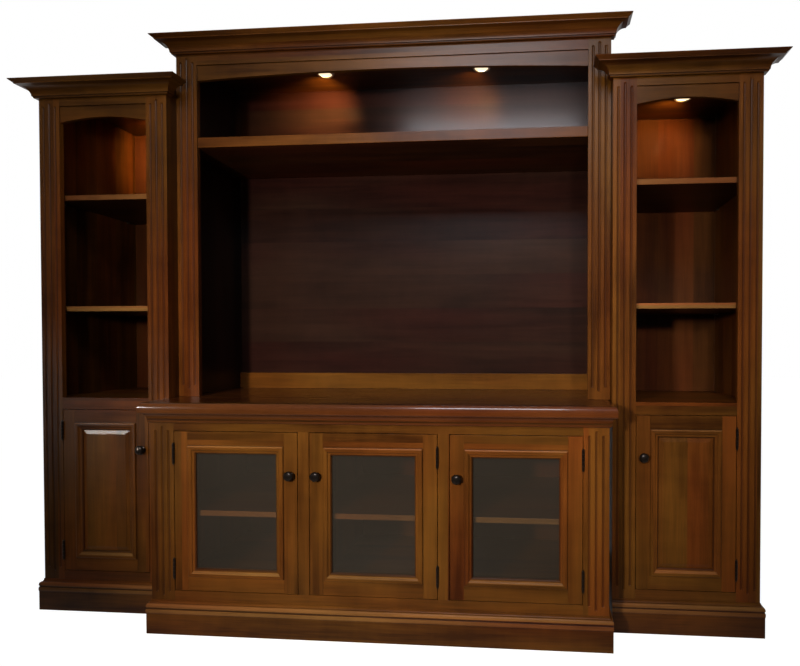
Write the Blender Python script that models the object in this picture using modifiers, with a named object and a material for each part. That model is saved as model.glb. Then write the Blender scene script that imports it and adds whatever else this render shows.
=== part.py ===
"""Entertainment centre: a glass-door console, an open hutch on it and a tower at each side.

Metres, +Z up, the front faces -Y, the part stands on the plane Z = 0.
"""
import math

import bmesh
import bpy
from mathutils import Matrix

PARTS_COLLECTION = "entertainment_center"

# Driving sizes of the units
TOTAL_HEIGHT = 2.032
TOWER_DROP = 0.162
COUNTER_HEIGHT = 0.762
CONSOLE_DEPTH = 0.640
TOWER_DEPTH = 0.500
HUTCH_DEPTH = 0.440
CONSOLE_WIDTH = 1.490
TOWER_WIDTH = 0.475

# Boards
BOARD_THICKNESS = 0.019
FRAME_THICKNESS = 0.020
BACK_THICKNESS = 0.006
HUTCH_SHELF_THICKNESS = 0.036
BACK_RAIL_HEIGHT = 0.065
BACK_RAIL_THICKNESS = 0.016
NOSE_ROUND = 0.002

# Clearances
SEAT_GAP = 0.0003
UNIT_GAP = 0.001
DOOR_GAP = 0.002
SHELF_GAP = 0.001
CUT_OVERRUN = 0.010

# Face frames
TOWER_STILE_WIDTH = 0.076
CONSOLE_STILE_WIDTH = 0.080
HUTCH_STILE_WIDTH = 0.076
MULLION_WIDTH = 0.0365
FLOOR_TOP = 0.141
CONSOLE_DOOR_DROP = 0.094
DECK_DROP = 0.002
DECK_RAIL_HEIGHT = 0.041

# Frieze rails and the arched valances under them
TOWER_FRIEZE_HEIGHT = 0.026
HUTCH_FRIEZE_HEIGHT = 0.036
TOWER_VALANCE_HEIGHT = 0.058
HUTCH_VALANCE_HEIGHT = 0.054
VALANCE_RISE = 0.018
VALANCE_THICKNESS = 0.016
VALANCE_SET_BACK = 0.005
ARCH_STEPS = 20

# Shelves, by the height of their tops as shares of the opening in front, lowest first
LEFT_TOWER_SHELF_SHARES = (0.317, 0.7025)
RIGHT_TOWER_SHELF_SHARES = (0.317, 0.7141)
CONSOLE_SHELF_SHARE = 0.4915
HUTCH_SHELF_DROP = 0.344
SHELF_SET_BACK = 0.010
PIN_RADIUS = 0.0025
PIN_REACH = 0.010
PIN_DEPTH = 0.008
PIN_BITE = 0.0008
PIN_CLEARANCE = 0.0002
PIN_INSET = 0.055
PIN_SIDES = 8

# Flutes
FLUTE_RADIUS = 0.005
FLUTE_DEPTH = 0.004
FLUTE_SPACING = 0.0215
FLUTE_STEP = 0.013
FLUTE_SIDES = 12
FLUTE_RINGS = 5
TOWER_FLUTE_TOP_MARGIN = 0.026
TOWER_FLUTE_BOTTOM = 0.150
CONSOLE_FLUTE_TOP_MARGIN = 0.024
CONSOLE_FLUTE_BOTTOM = 0.135
HUTCH_FLUTE_TOP_MARGIN = 0.024
HUTCH_FLUTE_BOTTOM = 0.040

# Cornices
CROWN_HEIGHT = 0.052
CROWN_PROJECTION = 0.064
CROWN_CURVE_STEPS = 7

# Countertop
COUNTER_EDGE_HEIGHT = 0.068
COUNTER_SLAB_THICKNESS = 0.036
COUNTER_FRONT_OVERHANG = 0.036
COUNTER_SIDE_OVERHANG = 0.022
COUNTER_CURVE_STEPS = 5

# Bases
BASE_HEIGHT = 0.110
BASE_PROJECTION = 0.014
BASE_CURVE_STEPS = 5

# Doors
DOOR_THICKNESS = 0.020
DOOR_FLAT_WIDTH = 0.046
BEAD_WIDTH = 0.026
BEAD_RISE = 0.006
BEAD_CURVE_STEPS = 4
GROOVE_DEPTH = 0.010
GROOVE_FRONT = 0.007
TONGUE_THICKNESS = 0.006
GLASS_THICKNESS = 0.004
PANEL_PLAY = 0.0015
PANEL_BEVEL_WIDTH = 0.025
PANEL_BEVEL_RISE = 0.0035
PANEL_QUIRK = 0.002

# Butt hinges
HINGE_LENGTH = 0.065
HINGE_INSET = 0.075
HINGE_PROUD = 0.0048
KNUCKLE_COUNT = 5
KNUCKLE_RADIUS = 0.004
KNUCKLE_GAP = 0.0003
HINGE_PIN_RADIUS = 0.002
HINGE_PIN_CLEARANCE = 0.0002
LEAF_THICKNESS = 0.0007
LEAF_WIDTH = 0.017
LEAF_BITE = 0.0005
HINGE_SIDES = 8

# Knobs and puck lights
KNOB_RADIUS = 0.016
KNOB_LENGTH = 0.027
KNOB_DROP = 0.140
KNOB_STEPS = 16
TURNING_MERGE = 0.00001
PUCK_RADIUS = 0.034
PUCK_HEIGHT = 0.017
PUCK_STEPS = 20
HUTCH_PUCK_SPREAD = 0.305
TOWER_PUCK_OFFSET = 0.037
PUCK_BACK_SET = 0.240

# Outlines, as shares of the sizes that they follow: (way of going there, outward, upward),
# from the bottom up. A quarter turn leaves its last point either flat or steep.
CROWN_SHARES = (
    ("line", 0.13, 0.00),
    ("flat_first", 0.19, 0.07),
    ("line", 0.19, 0.10),
    ("line", 0.24, 0.12),
    ("steep_first", 0.76, 0.72),
    ("line", 0.80, 0.73),
    ("line", 0.80, 0.77),
    ("line", 0.99, 0.95),
    ("line", 1.00, 1.00),
)
COUNTER_SHARES = (
    ("line", 0.08, 0.00),
    ("flat_first", 0.27, 0.12),
    ("line", 0.27, 0.19),
    ("line", 0.32, 0.21),
    ("steep_first", 0.80, 0.46),
    ("line", 0.92, 0.47),
    ("line", 1.00, 0.52),
    ("line", 1.00, 0.68),
    ("steep_first", 0.60, 1.00),
)
BASE_SHARES = (
    ("line", 0.90, 0.00),
    ("line", 0.90, 0.61),
    ("flat_first", 1.00, 0.68),
    ("steep_first", 0.84, 0.75),
    ("line", 0.84, 0.78),
    ("flat_first", 0.96, 0.81),
    ("steep_first", 0.60, 0.90),
    ("line", 0.50, 0.907),
    ("flat_first", 0.14, 1.00),
)
# Bead round a door's panel or glass: (way of going there, inward, forward)
BEAD_SHARES = (
    ("line", 0.00, 0.50),
    ("steep_first", 0.20, 1.00),
    ("line", 0.38, 1.00),
    ("flat_first", 0.58, 0.55),
    ("steep_first", 0.86, 0.10),
    ("line", 0.90, -0.10),
    ("line", 1.00, -0.40),
)
# Knob from the crown of its head to its foot: (radius, length)
KNOB_SHARES = (
    (0.00, 1.00),
    (0.58, 0.935),
    (0.82, 0.84),
    (0.96, 0.71),
    (1.00, 0.60),
    (0.94, 0.50),
    (0.72, 0.42),
    (0.46, 0.36),
    (0.38, 0.26),
    (0.62, 0.08),
    (0.66, 0.00),
    (0.00, 0.00),
)
# Puck light from its flat back down to its lens: (radius, height)
PUCK_SHARES = (
    (0.00, 1.00),
    (1.00, 1.00),
    (1.00, 0.35),
    (0.94, 0.10),
    (0.86, 0.00),
    (0.76, 0.00),
    (0.72, 0.16),
    (0.40, 0.08),
    (0.00, 0.05),
)

# Colours of the finishes: (red, green, blue, roughness, metallic)
MAPLE = (0.115, 0.038, 0.0085, 0.32, 0.0)
DARK_BACK = (0.045, 0.022, 0.012, 0.50, 0.0)
BRONZE = (0.020, 0.016, 0.014, 0.35, 0.9)
GLASS = (0.070, 0.060, 0.050, 0.05, 0.0)
LAMP_METAL = (0.550, 0.480, 0.380, 0.35, 0.8)

# Derived sizes
TOTAL_DEPTH = CONSOLE_DEPTH + COUNTER_FRONT_OVERHANG
BACK_Y = TOTAL_DEPTH / 2
CONSOLE_FRONT_Y = BACK_Y - CONSOLE_DEPTH
TOWER_FRONT_Y = BACK_Y - TOWER_DEPTH
HUTCH_FRONT_Y = BACK_Y - HUTCH_DEPTH
HUTCH_WIDTH = CONSOLE_WIDTH + 2 * COUNTER_SIDE_OVERHANG
HUTCH_FOOT = COUNTER_HEIGHT + SEAT_GAP
HUTCH_HEIGHT = TOTAL_HEIGHT - HUTCH_FOOT
TOWER_HEIGHT = TOTAL_HEIGHT - TOWER_DROP
TOWER_CENTRE_X = (HUTCH_WIDTH + TOWER_WIDTH) / 2 + UNIT_GAP
CONSOLE_DOOR_TOP = COUNTER_HEIGHT - CONSOLE_DOOR_DROP
DECK_TOP = COUNTER_HEIGHT - DECK_DROP
TOWER_DOOR_TOP = DECK_TOP - DECK_RAIL_HEIGHT
CONSOLE_OPENING = (CONSOLE_WIDTH - 2 * CONSOLE_STILE_WIDTH - 2 * MULLION_WIDTH) / 3


def clear_scene():
    for old in list(bpy.data.objects):
        bpy.data.objects.remove(old, do_unlink=True)


def make_collection(name):
    found = bpy.data.collections.get(name)
    if found is None:
        found = bpy.data.collections.new(name)
        bpy.context.scene.collection.children.link(found)
    return found


def finish_material(name, finish):
    """Each piece has its own material, in the finish that it shares."""
    red, green, blue, roughness, metallic = finish
    material = bpy.data.materials.new(name)
    material.use_nodes = True
    shader = material.node_tree.nodes["Principled BSDF"]
    shader.inputs["Base Color"].default_value = (red, green, blue, 1.0)
    shader.inputs["Roughness"].default_value = roughness
    shader.inputs["Metallic"].default_value = metallic
    return material


def make_empty(name, location, parent=None):
    empty = bpy.data.objects.new(name, None)
    make_collection(PARTS_COLLECTION).objects.link(empty)
    empty.location = location
    empty.parent = parent
    return empty


def add_piece(name, shape, finish, parent, location):
    """One named piece from a bmesh, in its unit's collection."""
    mesh = bpy.data.meshes.new(name)
    bmesh.ops.recalc_face_normals(shape, faces=shape.faces)
    shape.to_mesh(mesh)
    shape.free()
    mesh.materials.append(finish_material(name, finish))
    piece = bpy.data.objects.new(name, mesh)
    make_collection(PARTS_COLLECTION).objects.link(piece)
    piece.parent = parent
    piece.location = location
    return piece


def add_tool(name, shape, parent, location):
    """A hidden shape that a Boolean cuts away or joins on."""
    mesh = bpy.data.meshes.new(name)
    bmesh.ops.recalc_face_normals(shape, faces=shape.faces)
    shape.to_mesh(mesh)
    shape.free()
    tool = bpy.data.objects.new(name, mesh)
    make_collection("cutters").objects.link(tool)
    tool.parent = parent
    tool.location = location
    tool.hide_render = True
    tool.display_type = "WIRE"
    return tool


def apply_tool(piece, tool, operation):
    boolean = piece.modifiers.new(tool.name, "BOOLEAN")
    boolean.operation = operation
    boolean.solver = "EXACT"
    boolean.use_self = operation == "UNION"
    boolean.object = tool


# Plain shapes

def box_into(shape, x_span, y_span, z_span):
    """Add a box between two ends on each axis."""
    spans = (x_span, y_span, z_span)
    size = [span[1] - span[0] for span in spans]
    centre = [(span[0] + span[1]) / 2 for span in spans]
    bmesh.ops.create_cube(shape, size=1.0, matrix=Matrix.LocRotScale(centre, None, size))


def span_box(x_span, y_span, z_span):
    """A box about its own centre, and the place of that centre."""
    spans = (x_span, y_span, z_span)
    halves = [(span[1] - span[0]) / 2 for span in spans]
    centre = [(span[0] + span[1]) / 2 for span in spans]
    shape = bmesh.new()
    box_into(shape, *[(-half, half) for half in halves])
    return shape, centre


def add_box(name, finish, parent, x_span, y_span, z_span):
    shape, centre = span_box(x_span, y_span, z_span)
    return add_piece(name, shape, finish, parent, centre)


def cut_box(piece, name, x_span, y_span, z_span):
    shape, centre = span_box(x_span, y_span, z_span)
    tool = add_tool(piece.name + "_" + name, shape, piece.parent, centre)
    apply_tool(piece, tool, "DIFFERENCE")


def round_front_edges(shape, depth):
    """Ease the two long edges at the front of a shelf."""
    front = [
        edge for edge in shape.edges
        if all(vert.co.y < -depth / 4 for vert in edge.verts)
        and edge.verts[0].co.z * edge.verts[1].co.z > 0
    ]
    bmesh.ops.bevel(
        shape, geom=front, offset=NOSE_ROUND, offset_type="OFFSET",
        affect="EDGES", segments=2, profile=0.5, material=-1)


def outline_points(shares, width, height, curve_steps):
    """Turn a table of shares into the points of an outline."""
    points = []
    for way, across_share, up_share in shares:
        end = (across_share * width, up_share * height)
        if way == "line":
            points.append(end)
            continue
        start = points[-1]
        for step in range(1, curve_steps + 1):
            turn = math.pi / 2 * step / curve_steps
            across, up = math.sin(turn), 1 - math.cos(turn)
            if way == "steep_first":
                across, up = 1 - math.cos(turn), math.sin(turn)
            points.append((
                start[0] + (end[0] - start[0]) * across,
                start[1] + (end[1] - start[1]) * up))
    return points


def stacked_rectangles(levels):
    """A solid through a stack of rectangles, each (left, right, front, back, height)."""
    shape = bmesh.new()
    bmesh.ops.create_grid(shape, x_segments=1, y_segments=1, size=0.5)
    face = list(shape.faces)[0]
    for number, (left, right, front, back, height) in enumerate(levels):
        if number:
            lower = face
            grown = bmesh.ops.extrude_face_region(shape, geom=[lower])["geom"]
            face = [item for item in grown if isinstance(item, bmesh.types.BMFace)][0]
            if number > 1:
                bmesh.ops.delete(shape, geom=[lower], context="FACES_ONLY")
        middle = face.calc_center_median()
        for vert in face.verts:
            vert.co = (
                right if vert.co.x > middle.x else left,
                back if vert.co.y > middle.y else front,
                height)
    return shape


def moulded_block(width, depth, front_outline, side_outline):
    """A block whose front and sides follow an outline, mitred at the corners, with a flat back."""
    levels = []
    for (front_out, height), (side_out, _) in zip(front_outline, side_outline):
        reach = width / 2 + side_out
        levels.append((-reach, reach, -front_out, depth, height))
    return stacked_rectangles(levels)


def stand_up(shape):
    """Turn a shape that was made lying on its back so that it faces the front."""
    bmesh.ops.rotate(
        shape, verts=shape.verts, cent=(0, 0, 0), matrix=Matrix.Rotation(math.pi / 2, 3, "X"))
    return shape


def stepped_panel(width, height, levels):
    """An upright panel through rectangles of (inward, forward)."""
    return stand_up(stacked_rectangles([
        (inward - width / 2, width / 2 - inward, inward - height / 2, height / 2 - inward, forward)
        for inward, forward in levels]))


def mitred_ring(width, height, outline):
    """An upright rectangular ring whose section is a closed outline of (inward, forward)."""
    shape = bmesh.new()
    bmesh.ops.create_grid(shape, x_segments=1, y_segments=1, size=0.5)
    first = loop = list(shape.edges)
    bmesh.ops.delete(shape, geom=list(shape.faces), context="FACES_ONLY")
    for number, (inward, forward) in enumerate(outline):
        if number:
            grown = bmesh.ops.extrude_edge_only(shape, edges=loop)["geom"]
            corners = {item for item in grown if isinstance(item, bmesh.types.BMVert)}
            loop = [
                item for item in grown
                if isinstance(item, bmesh.types.BMEdge) and corners.issuperset(item.verts)]
        for vert in {vert for edge in loop for vert in edge.verts}:
            vert.co.x = math.copysign(width / 2 - inward, vert.co.x)
            vert.co.y = math.copysign(height / 2 - inward, vert.co.y)
            vert.co.z = forward
    bmesh.ops.bridge_loops(shape, edges=first + loop)
    return stand_up(shape)


def cylinder_shape(radius, length, sides, axis):
    """A cylinder about its own centre, along X or Z."""
    shape = bmesh.new()
    bmesh.ops.create_cone(
        shape, cap_ends=True, segments=sides, radius1=radius, radius2=radius, depth=length)
    if axis == "X":
        bmesh.ops.rotate(
            shape, verts=shape.verts, cent=(0, 0, 0), matrix=Matrix.Rotation(math.pi / 2, 3, "Y"))
    return shape


def add_turned(name, finish, outline, steps, parent, location):
    """A turned piece: its outline runs from top to bottom and is spun by a Screw."""
    shape = bmesh.new()
    rims = [shape.verts.new((radius, 0, height)) for radius, height in outline]
    for upper, lower in zip(rims, rims[1:]):
        shape.edges.new((upper, lower))
    mesh = bpy.data.meshes.new(name)
    shape.to_mesh(mesh)
    shape.free()
    mesh.materials.append(finish_material(name, finish))
    piece = bpy.data.objects.new(name, mesh)
    make_collection(PARTS_COLLECTION).objects.link(piece)
    piece.parent = parent
    piece.location = location
    screw = piece.modifiers.new("turn", "SCREW")
    screw.axis = "Z"
    screw.steps = steps
    screw.render_steps = steps
    screw.use_merge_vertices = True
    screw.merge_threshold = TURNING_MERGE
    screw.use_smooth_shade = True
    return piece


# Frames, flutes and valances

def flute_cutters(bottom, top):
    """Three stopped flutes side by side, the middle one longer at both ends."""
    shape = bmesh.new()
    for number in (-1, 0, 1):
        extra = 0 if number else FLUTE_STEP
        half_run = (top - bottom) / 2 + extra - FLUTE_RADIUS
        made = bmesh.ops.create_uvsphere(
            shape, u_segments=FLUTE_SIDES, v_segments=FLUTE_RINGS, radius=FLUTE_RADIUS)["verts"]
        for vert in made:
            vert.co.z += math.copysign(half_run, vert.co.z)
            vert.co.x += number * FLUTE_SPACING
    return shape


def flute_stile(frame, name, stile_x, bottom, top):
    place = (stile_x, FLUTE_DEPTH - FLUTE_RADIUS, (bottom + top) / 2)
    tool = add_tool(frame.name + "_" + name, flute_cutters(bottom, top), frame.parent, place)
    apply_tool(frame, tool, "DIFFERENCE")


def add_face_frame(name, unit, width, height, openings):
    """A frame board with its openings cut out, each (left, right, bottom, top)."""
    frame = add_box(
        name, MAPLE, unit, (-width / 2, width / 2), (0, FRAME_THICKNESS), (0, height))
    for number, (left, right, bottom, top) in enumerate(openings):
        cut_box(
            frame, "opening_%d" % number, (left, right),
            (-CUT_OVERRUN, FRAME_THICKNESS + CUT_OVERRUN), (bottom, top))
    return frame


def add_valance(name, unit, half_width, end_bottom, top):
    """A board with an arched lower edge, set back a little in the face frame."""
    chord = 2 * half_width
    radius = (half_width ** 2 + VALANCE_RISE ** 2) / (2 * VALANCE_RISE)
    sweep = math.asin(half_width / radius)
    points = [(-half_width, top), (half_width, top)]
    for step in range(ARCH_STEPS + 1):
        angle = sweep * (1 - 2 * step / ARCH_STEPS)
        lift = radius * (math.cos(angle) - math.cos(sweep))
        points.append((chord / 2 * math.sin(angle) / math.sin(sweep), end_bottom + lift))
    curve = bpy.data.curves.new(name, "CURVE")
    curve.dimensions = "2D"
    curve.fill_mode = "BOTH"
    curve.extrude = VALANCE_THICKNESS / 2
    spline = curve.splines.new("POLY")
    spline.points.add(len(points) - 1)
    for point, (across, up) in zip(spline.points, points):
        point.co = (across, up, 0, 1)
    spline.use_cyclic_u = True
    curve.materials.append(finish_material(name, MAPLE))
    valance = bpy.data.objects.new(name, curve)
    make_collection(PARTS_COLLECTION).objects.link(valance)
    valance.parent = unit
    valance.location = (0, VALANCE_SET_BACK + VALANCE_THICKNESS / 2, 0)
    valance.rotation_euler = (math.pi / 2, 0, 0)
    return valance


# Mouldings

def add_cornice(name, unit, width, depth, height):
    """The top board and the crown moulding in one piece, over the carcass.

    The crown turns both front corners and stops where the face frame ends.
    """
    outline = outline_points(CROWN_SHARES, CROWN_PROJECTION, CROWN_HEIGHT, CROWN_CURVE_STEPS)
    cornice = add_piece(
        name, moulded_block(width, depth, outline, outline), MAPLE, unit,
        (0, 0, height - CROWN_HEIGHT))
    cut_box(
        cornice, "carcass_seat", (-width / 2 - SEAT_GAP, width / 2 + SEAT_GAP),
        (-SEAT_GAP, depth + CUT_OVERRUN),
        (height - CROWN_HEIGHT - CUT_OVERRUN, height - BOARD_THICKNESS))
    for cut_name, side in (("left_return_end", -1), ("right_return_end", 1)):
        cut_box(
            cornice, cut_name,
            sorted((side * width / 2, side * (width / 2 + CROWN_PROJECTION + CUT_OVERRUN))),
            (FRAME_THICKNESS, depth + CUT_OVERRUN),
            (height - CROWN_HEIGHT - CUT_OVERRUN, height + CUT_OVERRUN))


def add_base(name, unit, width, depth):
    """The plinth boards and their cap moulding, mitred round the front and the sides."""
    outline = outline_points(BASE_SHARES, BASE_PROJECTION, BASE_HEIGHT, BASE_CURVE_STEPS)
    base = add_piece(name, moulded_block(width, depth, outline, outline), MAPLE, unit, (0, 0, 0))
    cut_box(
        base, "carcass_seat", (-width / 2 - SEAT_GAP, width / 2 + SEAT_GAP),
        (-SEAT_GAP, depth + CUT_OVERRUN), (-CUT_OVERRUN, BASE_HEIGHT + CUT_OVERRUN))
    return base


def add_countertop(unit):
    """The console's top with its moulded edge and the bed moulding under it."""
    front = outline_points(
        COUNTER_SHARES, COUNTER_FRONT_OVERHANG, COUNTER_EDGE_HEIGHT, COUNTER_CURVE_STEPS)
    side = outline_points(
        COUNTER_SHARES, COUNTER_SIDE_OVERHANG, COUNTER_EDGE_HEIGHT, COUNTER_CURVE_STEPS)
    top = add_piece(
        "console_top", moulded_block(CONSOLE_WIDTH, CONSOLE_DEPTH, front, side), MAPLE, unit,
        (0, 0, COUNTER_HEIGHT - COUNTER_EDGE_HEIGHT))
    cut_box(
        top, "carcass_seat", (-CONSOLE_WIDTH / 2 - SEAT_GAP, CONSOLE_WIDTH / 2 + SEAT_GAP),
        (-SEAT_GAP, CONSOLE_DEPTH + CUT_OVERRUN),
        (COUNTER_HEIGHT - COUNTER_EDGE_HEIGHT - CUT_OVERRUN,
         COUNTER_HEIGHT - COUNTER_SLAB_THICKNESS))
    return top


# Shelves on pins

def pin_places(depth):
    """How far back the front and rear shelf pins sit."""
    front = FRAME_THICKNESS + SHELF_SET_BACK + PIN_INSET
    rear = depth - BACK_THICKNESS - PIN_INSET
    return front, rear


def bore_pin_holes(panel, face_x, inward, depth, shelf_tops):
    """Blind holes for the shelf pins in the face of a side or a divider."""
    hole_radius = PIN_RADIUS + PIN_CLEARANCE
    hole_depth = PIN_DEPTH + PIN_CLEARANCE
    for shelf_top in shelf_tops:
        height = shelf_top - BOARD_THICKNESS - PIN_RADIUS + PIN_BITE
        for back in pin_places(depth):
            length = hole_depth + CUT_OVERRUN
            place = (face_x + inward * (length / 2 - hole_depth), back, height)
            tool = add_tool(
                panel.name + "_pin_hole", cylinder_shape(hole_radius, length, PIN_SIDES, "X"),
                panel.parent, place)
            apply_tool(panel, tool, "DIFFERENCE")


def add_pinned_shelf(name, unit, left, right, depth, top):
    """A loose shelf with its four pins, whose shanks reach into the holes at its ends."""
    front = FRAME_THICKNESS + SHELF_SET_BACK
    back = depth - BACK_THICKNESS - SHELF_GAP
    shape, centre = span_box(
        (left + SHELF_GAP, right - SHELF_GAP), (front, back), (top - BOARD_THICKNESS, top))
    round_front_edges(shape, back - front)
    shelf = add_piece(name, shape, MAPLE, unit, centre)
    length = PIN_DEPTH + SHELF_GAP + PIN_REACH
    for end, outward in ((left, -1), (right, 1)):
        for place_back in pin_places(depth):
            place = (
                end + outward * (PIN_DEPTH - length / 2), place_back,
                top - BOARD_THICKNESS - PIN_RADIUS + PIN_BITE)
            tool = add_tool(
                name + "_pin", cylinder_shape(PIN_RADIUS, length, PIN_SIDES, "X"), unit, place)
            apply_tool(shelf, tool, "UNION")
    return shelf


# Doors and their butt hinges

def knuckle_spans(first):
    """The heights of every second knuckle of a hinge, about the hinge's middle."""
    pitch = HINGE_LENGTH / KNUCKLE_COUNT
    for number in range(first, KNUCKLE_COUNT, 2):
        low = number * pitch - HINGE_LENGTH / 2
        yield low + KNUCKLE_GAP / 2, low + pitch - KNUCKLE_GAP / 2


def leaf_into(shape, side, knuckles):
    """A hinge leaf let into the edge at one side of the gap, with a neck to each knuckle."""
    inner = DOOR_GAP / 2 - LEAF_THICKNESS
    outer = DOOR_GAP / 2 + LEAF_BITE
    box_into(
        shape, sorted((side * inner, side * outer)),
        (KNUCKLE_RADIUS + KNUCKLE_GAP, HINGE_PROUD + LEAF_WIDTH),
        (-HINGE_LENGTH / 2, HINGE_LENGTH / 2))
    neck = sorted((side * (inner + LEAF_THICKNESS / 4), side * DOOR_GAP / 2))
    neck_back = KNUCKLE_RADIUS + 2 * KNUCKLE_GAP
    for low, high in knuckles:
        box_into(
            shape, neck, ((HINGE_PIN_RADIUS + KNUCKLE_RADIUS) / 2, neck_back),
            (low + KNUCKLE_GAP, high - KNUCKLE_GAP))


def ring_into(shape, bore, radius, low, high):
    """A knuckle with a hole for the pin."""
    corners = [
        shape.verts.new((across, 0, height))
        for across, height in ((bore, low), (radius, low), (radius, high), (bore, high))]
    edges = [
        shape.edges.new((corners[number - 1], corner)) for number, corner in enumerate(corners)]
    bmesh.ops.spin(
        shape, geom=corners + edges, cent=(0, 0, 0), axis=(0, 0, 1), angle=2 * math.pi,
        steps=HINGE_SIDES, use_merge=True)


def join_frame_hinge(frame, axis_x, side, height):
    """The half of a hinge that the face frame carries, with the pin."""
    shape = bmesh.new()
    knuckles = list(knuckle_spans(0))
    leaf_into(shape, side, knuckles)
    pin_spans = [(HINGE_PIN_RADIUS, -HINGE_LENGTH / 2, HINGE_LENGTH / 2)]
    for radius, low, high in pin_spans + [(KNUCKLE_RADIUS, *span) for span in knuckles]:
        bmesh.ops.create_cone(
            shape, cap_ends=True, segments=HINGE_SIDES, radius1=radius, radius2=radius,
            depth=high - low, matrix=Matrix.Translation((0, 0, (low + high) / 2)))
    tool = add_tool(frame.name + "_hinge", shape, frame.parent, (axis_x, -HINGE_PROUD, height))
    apply_tool(frame, tool, "UNION")


def join_door_hinge(door_frame, side, height):
    """The half of a hinge that the door carries, its knuckles bored for the pin."""
    shape = bmesh.new()
    knuckles = list(knuckle_spans(1))
    leaf_into(shape, side, knuckles)
    for low, high in knuckles:
        ring_into(
            shape, HINGE_PIN_RADIUS + HINGE_PIN_CLEARANCE, KNUCKLE_RADIUS, low, high)
    tool = add_tool(door_frame.name + "_hinge", shape, door_frame.parent, (0, 0, height))
    apply_tool(door_frame, tool, "UNION")


def door_frame_outline(groove_width):
    """Section of a door's stiles and rails: flat, bead, and the groove that holds the filling."""
    bead = outline_points(BEAD_SHARES, BEAD_WIDTH, BEAD_RISE, BEAD_CURVE_STEPS)
    sight = DOOR_FLAT_WIDTH + BEAD_WIDTH
    groove_back = -GROOVE_FRONT - groove_width
    return (
        [(0, -DOOR_THICKNESS), (0, 0), (DOOR_FLAT_WIDTH, 0)]
        + [(DOOR_FLAT_WIDTH + inward, forward) for inward, forward in bead]
        + [(sight, -GROOVE_FRONT), (sight - GROOVE_DEPTH, -GROOVE_FRONT),
           (sight - GROOVE_DEPTH, groove_back), (sight, groove_back),
           (sight, -DOOR_THICKNESS)])


def raised_panel(width, height):
    """A panel with a tongue all round, a sloping bevel and a raised field."""
    tongue_face = -GROOVE_FRONT - SEAT_GAP
    tongue_reach = GROOVE_DEPTH - PANEL_PLAY
    bevel_end = tongue_reach + PANEL_BEVEL_WIDTH
    bevel_face = tongue_face + PANEL_BEVEL_RISE
    return stepped_panel(width, height, [
        (0, tongue_face - TONGUE_THICKNESS), (0, tongue_face), (tongue_reach, tongue_face),
        (bevel_end, bevel_face), (bevel_end, bevel_face + PANEL_QUIRK)])


def glass_pane(width, height):
    face = -GROOVE_FRONT - SEAT_GAP
    return stepped_panel(width, height, [(0, face - GLASS_THICKNESS), (0, face)])


def add_door(prefix, unit, frame, opening, swing, glazed):
    """An inset door in an opening (left, right, bottom, top) of its unit's face frame.

    swing is 1 where the door is hinged at its left edge and -1 at its right.
    """
    left, right, bottom, top = opening
    axis_x = (left if swing > 0 else right) + swing * DOOR_GAP / 2
    hinge = make_empty(prefix + "_hinge_axis", (axis_x, -HINGE_PROUD, bottom), unit)
    width = right - left - 2 * DOOR_GAP
    height = top - bottom - 2 * DOOR_GAP
    centre = (swing * (DOOR_GAP + width) / 2, HINGE_PROUD, DOOR_GAP + height / 2)

    filling_thickness = GLASS_THICKNESS if glazed else TONGUE_THICKNESS
    outline = door_frame_outline(filling_thickness + 2 * SEAT_GAP)
    door_frame = add_piece(
        prefix + "_frame", mitred_ring(width, height, outline), MAPLE, hinge, centre)
    for hinge_height in (HINGE_INSET, top - bottom - HINGE_INSET):
        join_frame_hinge(frame, axis_x, -swing, bottom + hinge_height)
        join_door_hinge(door_frame, swing, hinge_height)

    hidden_edge = DOOR_FLAT_WIDTH + BEAD_WIDTH - GROOVE_DEPTH + PANEL_PLAY
    filling_size = (width - 2 * hidden_edge, height - 2 * hidden_edge)
    if glazed:
        add_piece(prefix + "_glass", glass_pane(*filling_size), GLASS, hinge, centre)
    else:
        add_piece(prefix + "_panel", raised_panel(*filling_size), MAPLE, hinge, centre)

    knob_outline = [
        (radius_share * KNOB_RADIUS, length_share * KNOB_LENGTH)
        for radius_share, length_share in KNOB_SHARES]
    knob = add_turned(
        prefix + "_knob", BRONZE, knob_outline, KNOB_STEPS, hinge,
        (swing * (DOOR_GAP / 2 + width - DOOR_FLAT_WIDTH / 2), HINGE_PROUD - SEAT_GAP,
         top - bottom - KNOB_DROP))
    knob.rotation_euler = (math.pi / 2, 0, 0)


# Pieces that all units have

def add_carcass(prefix, unit, width, depth, height, side_names, back_bottom, rail_height=0):
    """The two sides and the back of a unit, behind its face frame.

    A rail_height gives the back a thick rail along its foot.
    """
    back_of_frame = FRAME_THICKNESS + SEAT_GAP
    sides = []
    for name, side in zip(side_names, (-1, 1)):
        inner = side * (width / 2 - BOARD_THICKNESS)
        x_span = sorted((inner, side * width / 2))
        sides.append(add_box(
            prefix + name, MAPLE, unit, x_span, (back_of_frame, depth), (0, height)))
    half = width / 2 - BOARD_THICKNESS - SEAT_GAP
    panel_front = depth - BACK_THICKNESS
    rail_front = panel_front - BACK_RAIL_THICKNESS if rail_height else panel_front
    back = add_box(
        prefix + "back", DARK_BACK, unit, (-half, half), (rail_front, depth),
        (back_bottom, height))
    if rail_height:
        cut_box(
            back, "above_rail", (-half - CUT_OVERRUN, half + CUT_OVERRUN),
            (rail_front - CUT_OVERRUN, panel_front),
            (back_bottom + rail_height, height + CUT_OVERRUN))
    return sides


def add_level_board(name, unit, half_width, depth, top):
    """A fixed board across a unit, between its sides, its frame and its back."""
    return add_box(
        name, MAPLE, unit, (-half_width, half_width),
        (FRAME_THICKNESS + SEAT_GAP, depth - BACK_THICKNESS - SEAT_GAP),
        (top - BOARD_THICKNESS, top))


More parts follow.
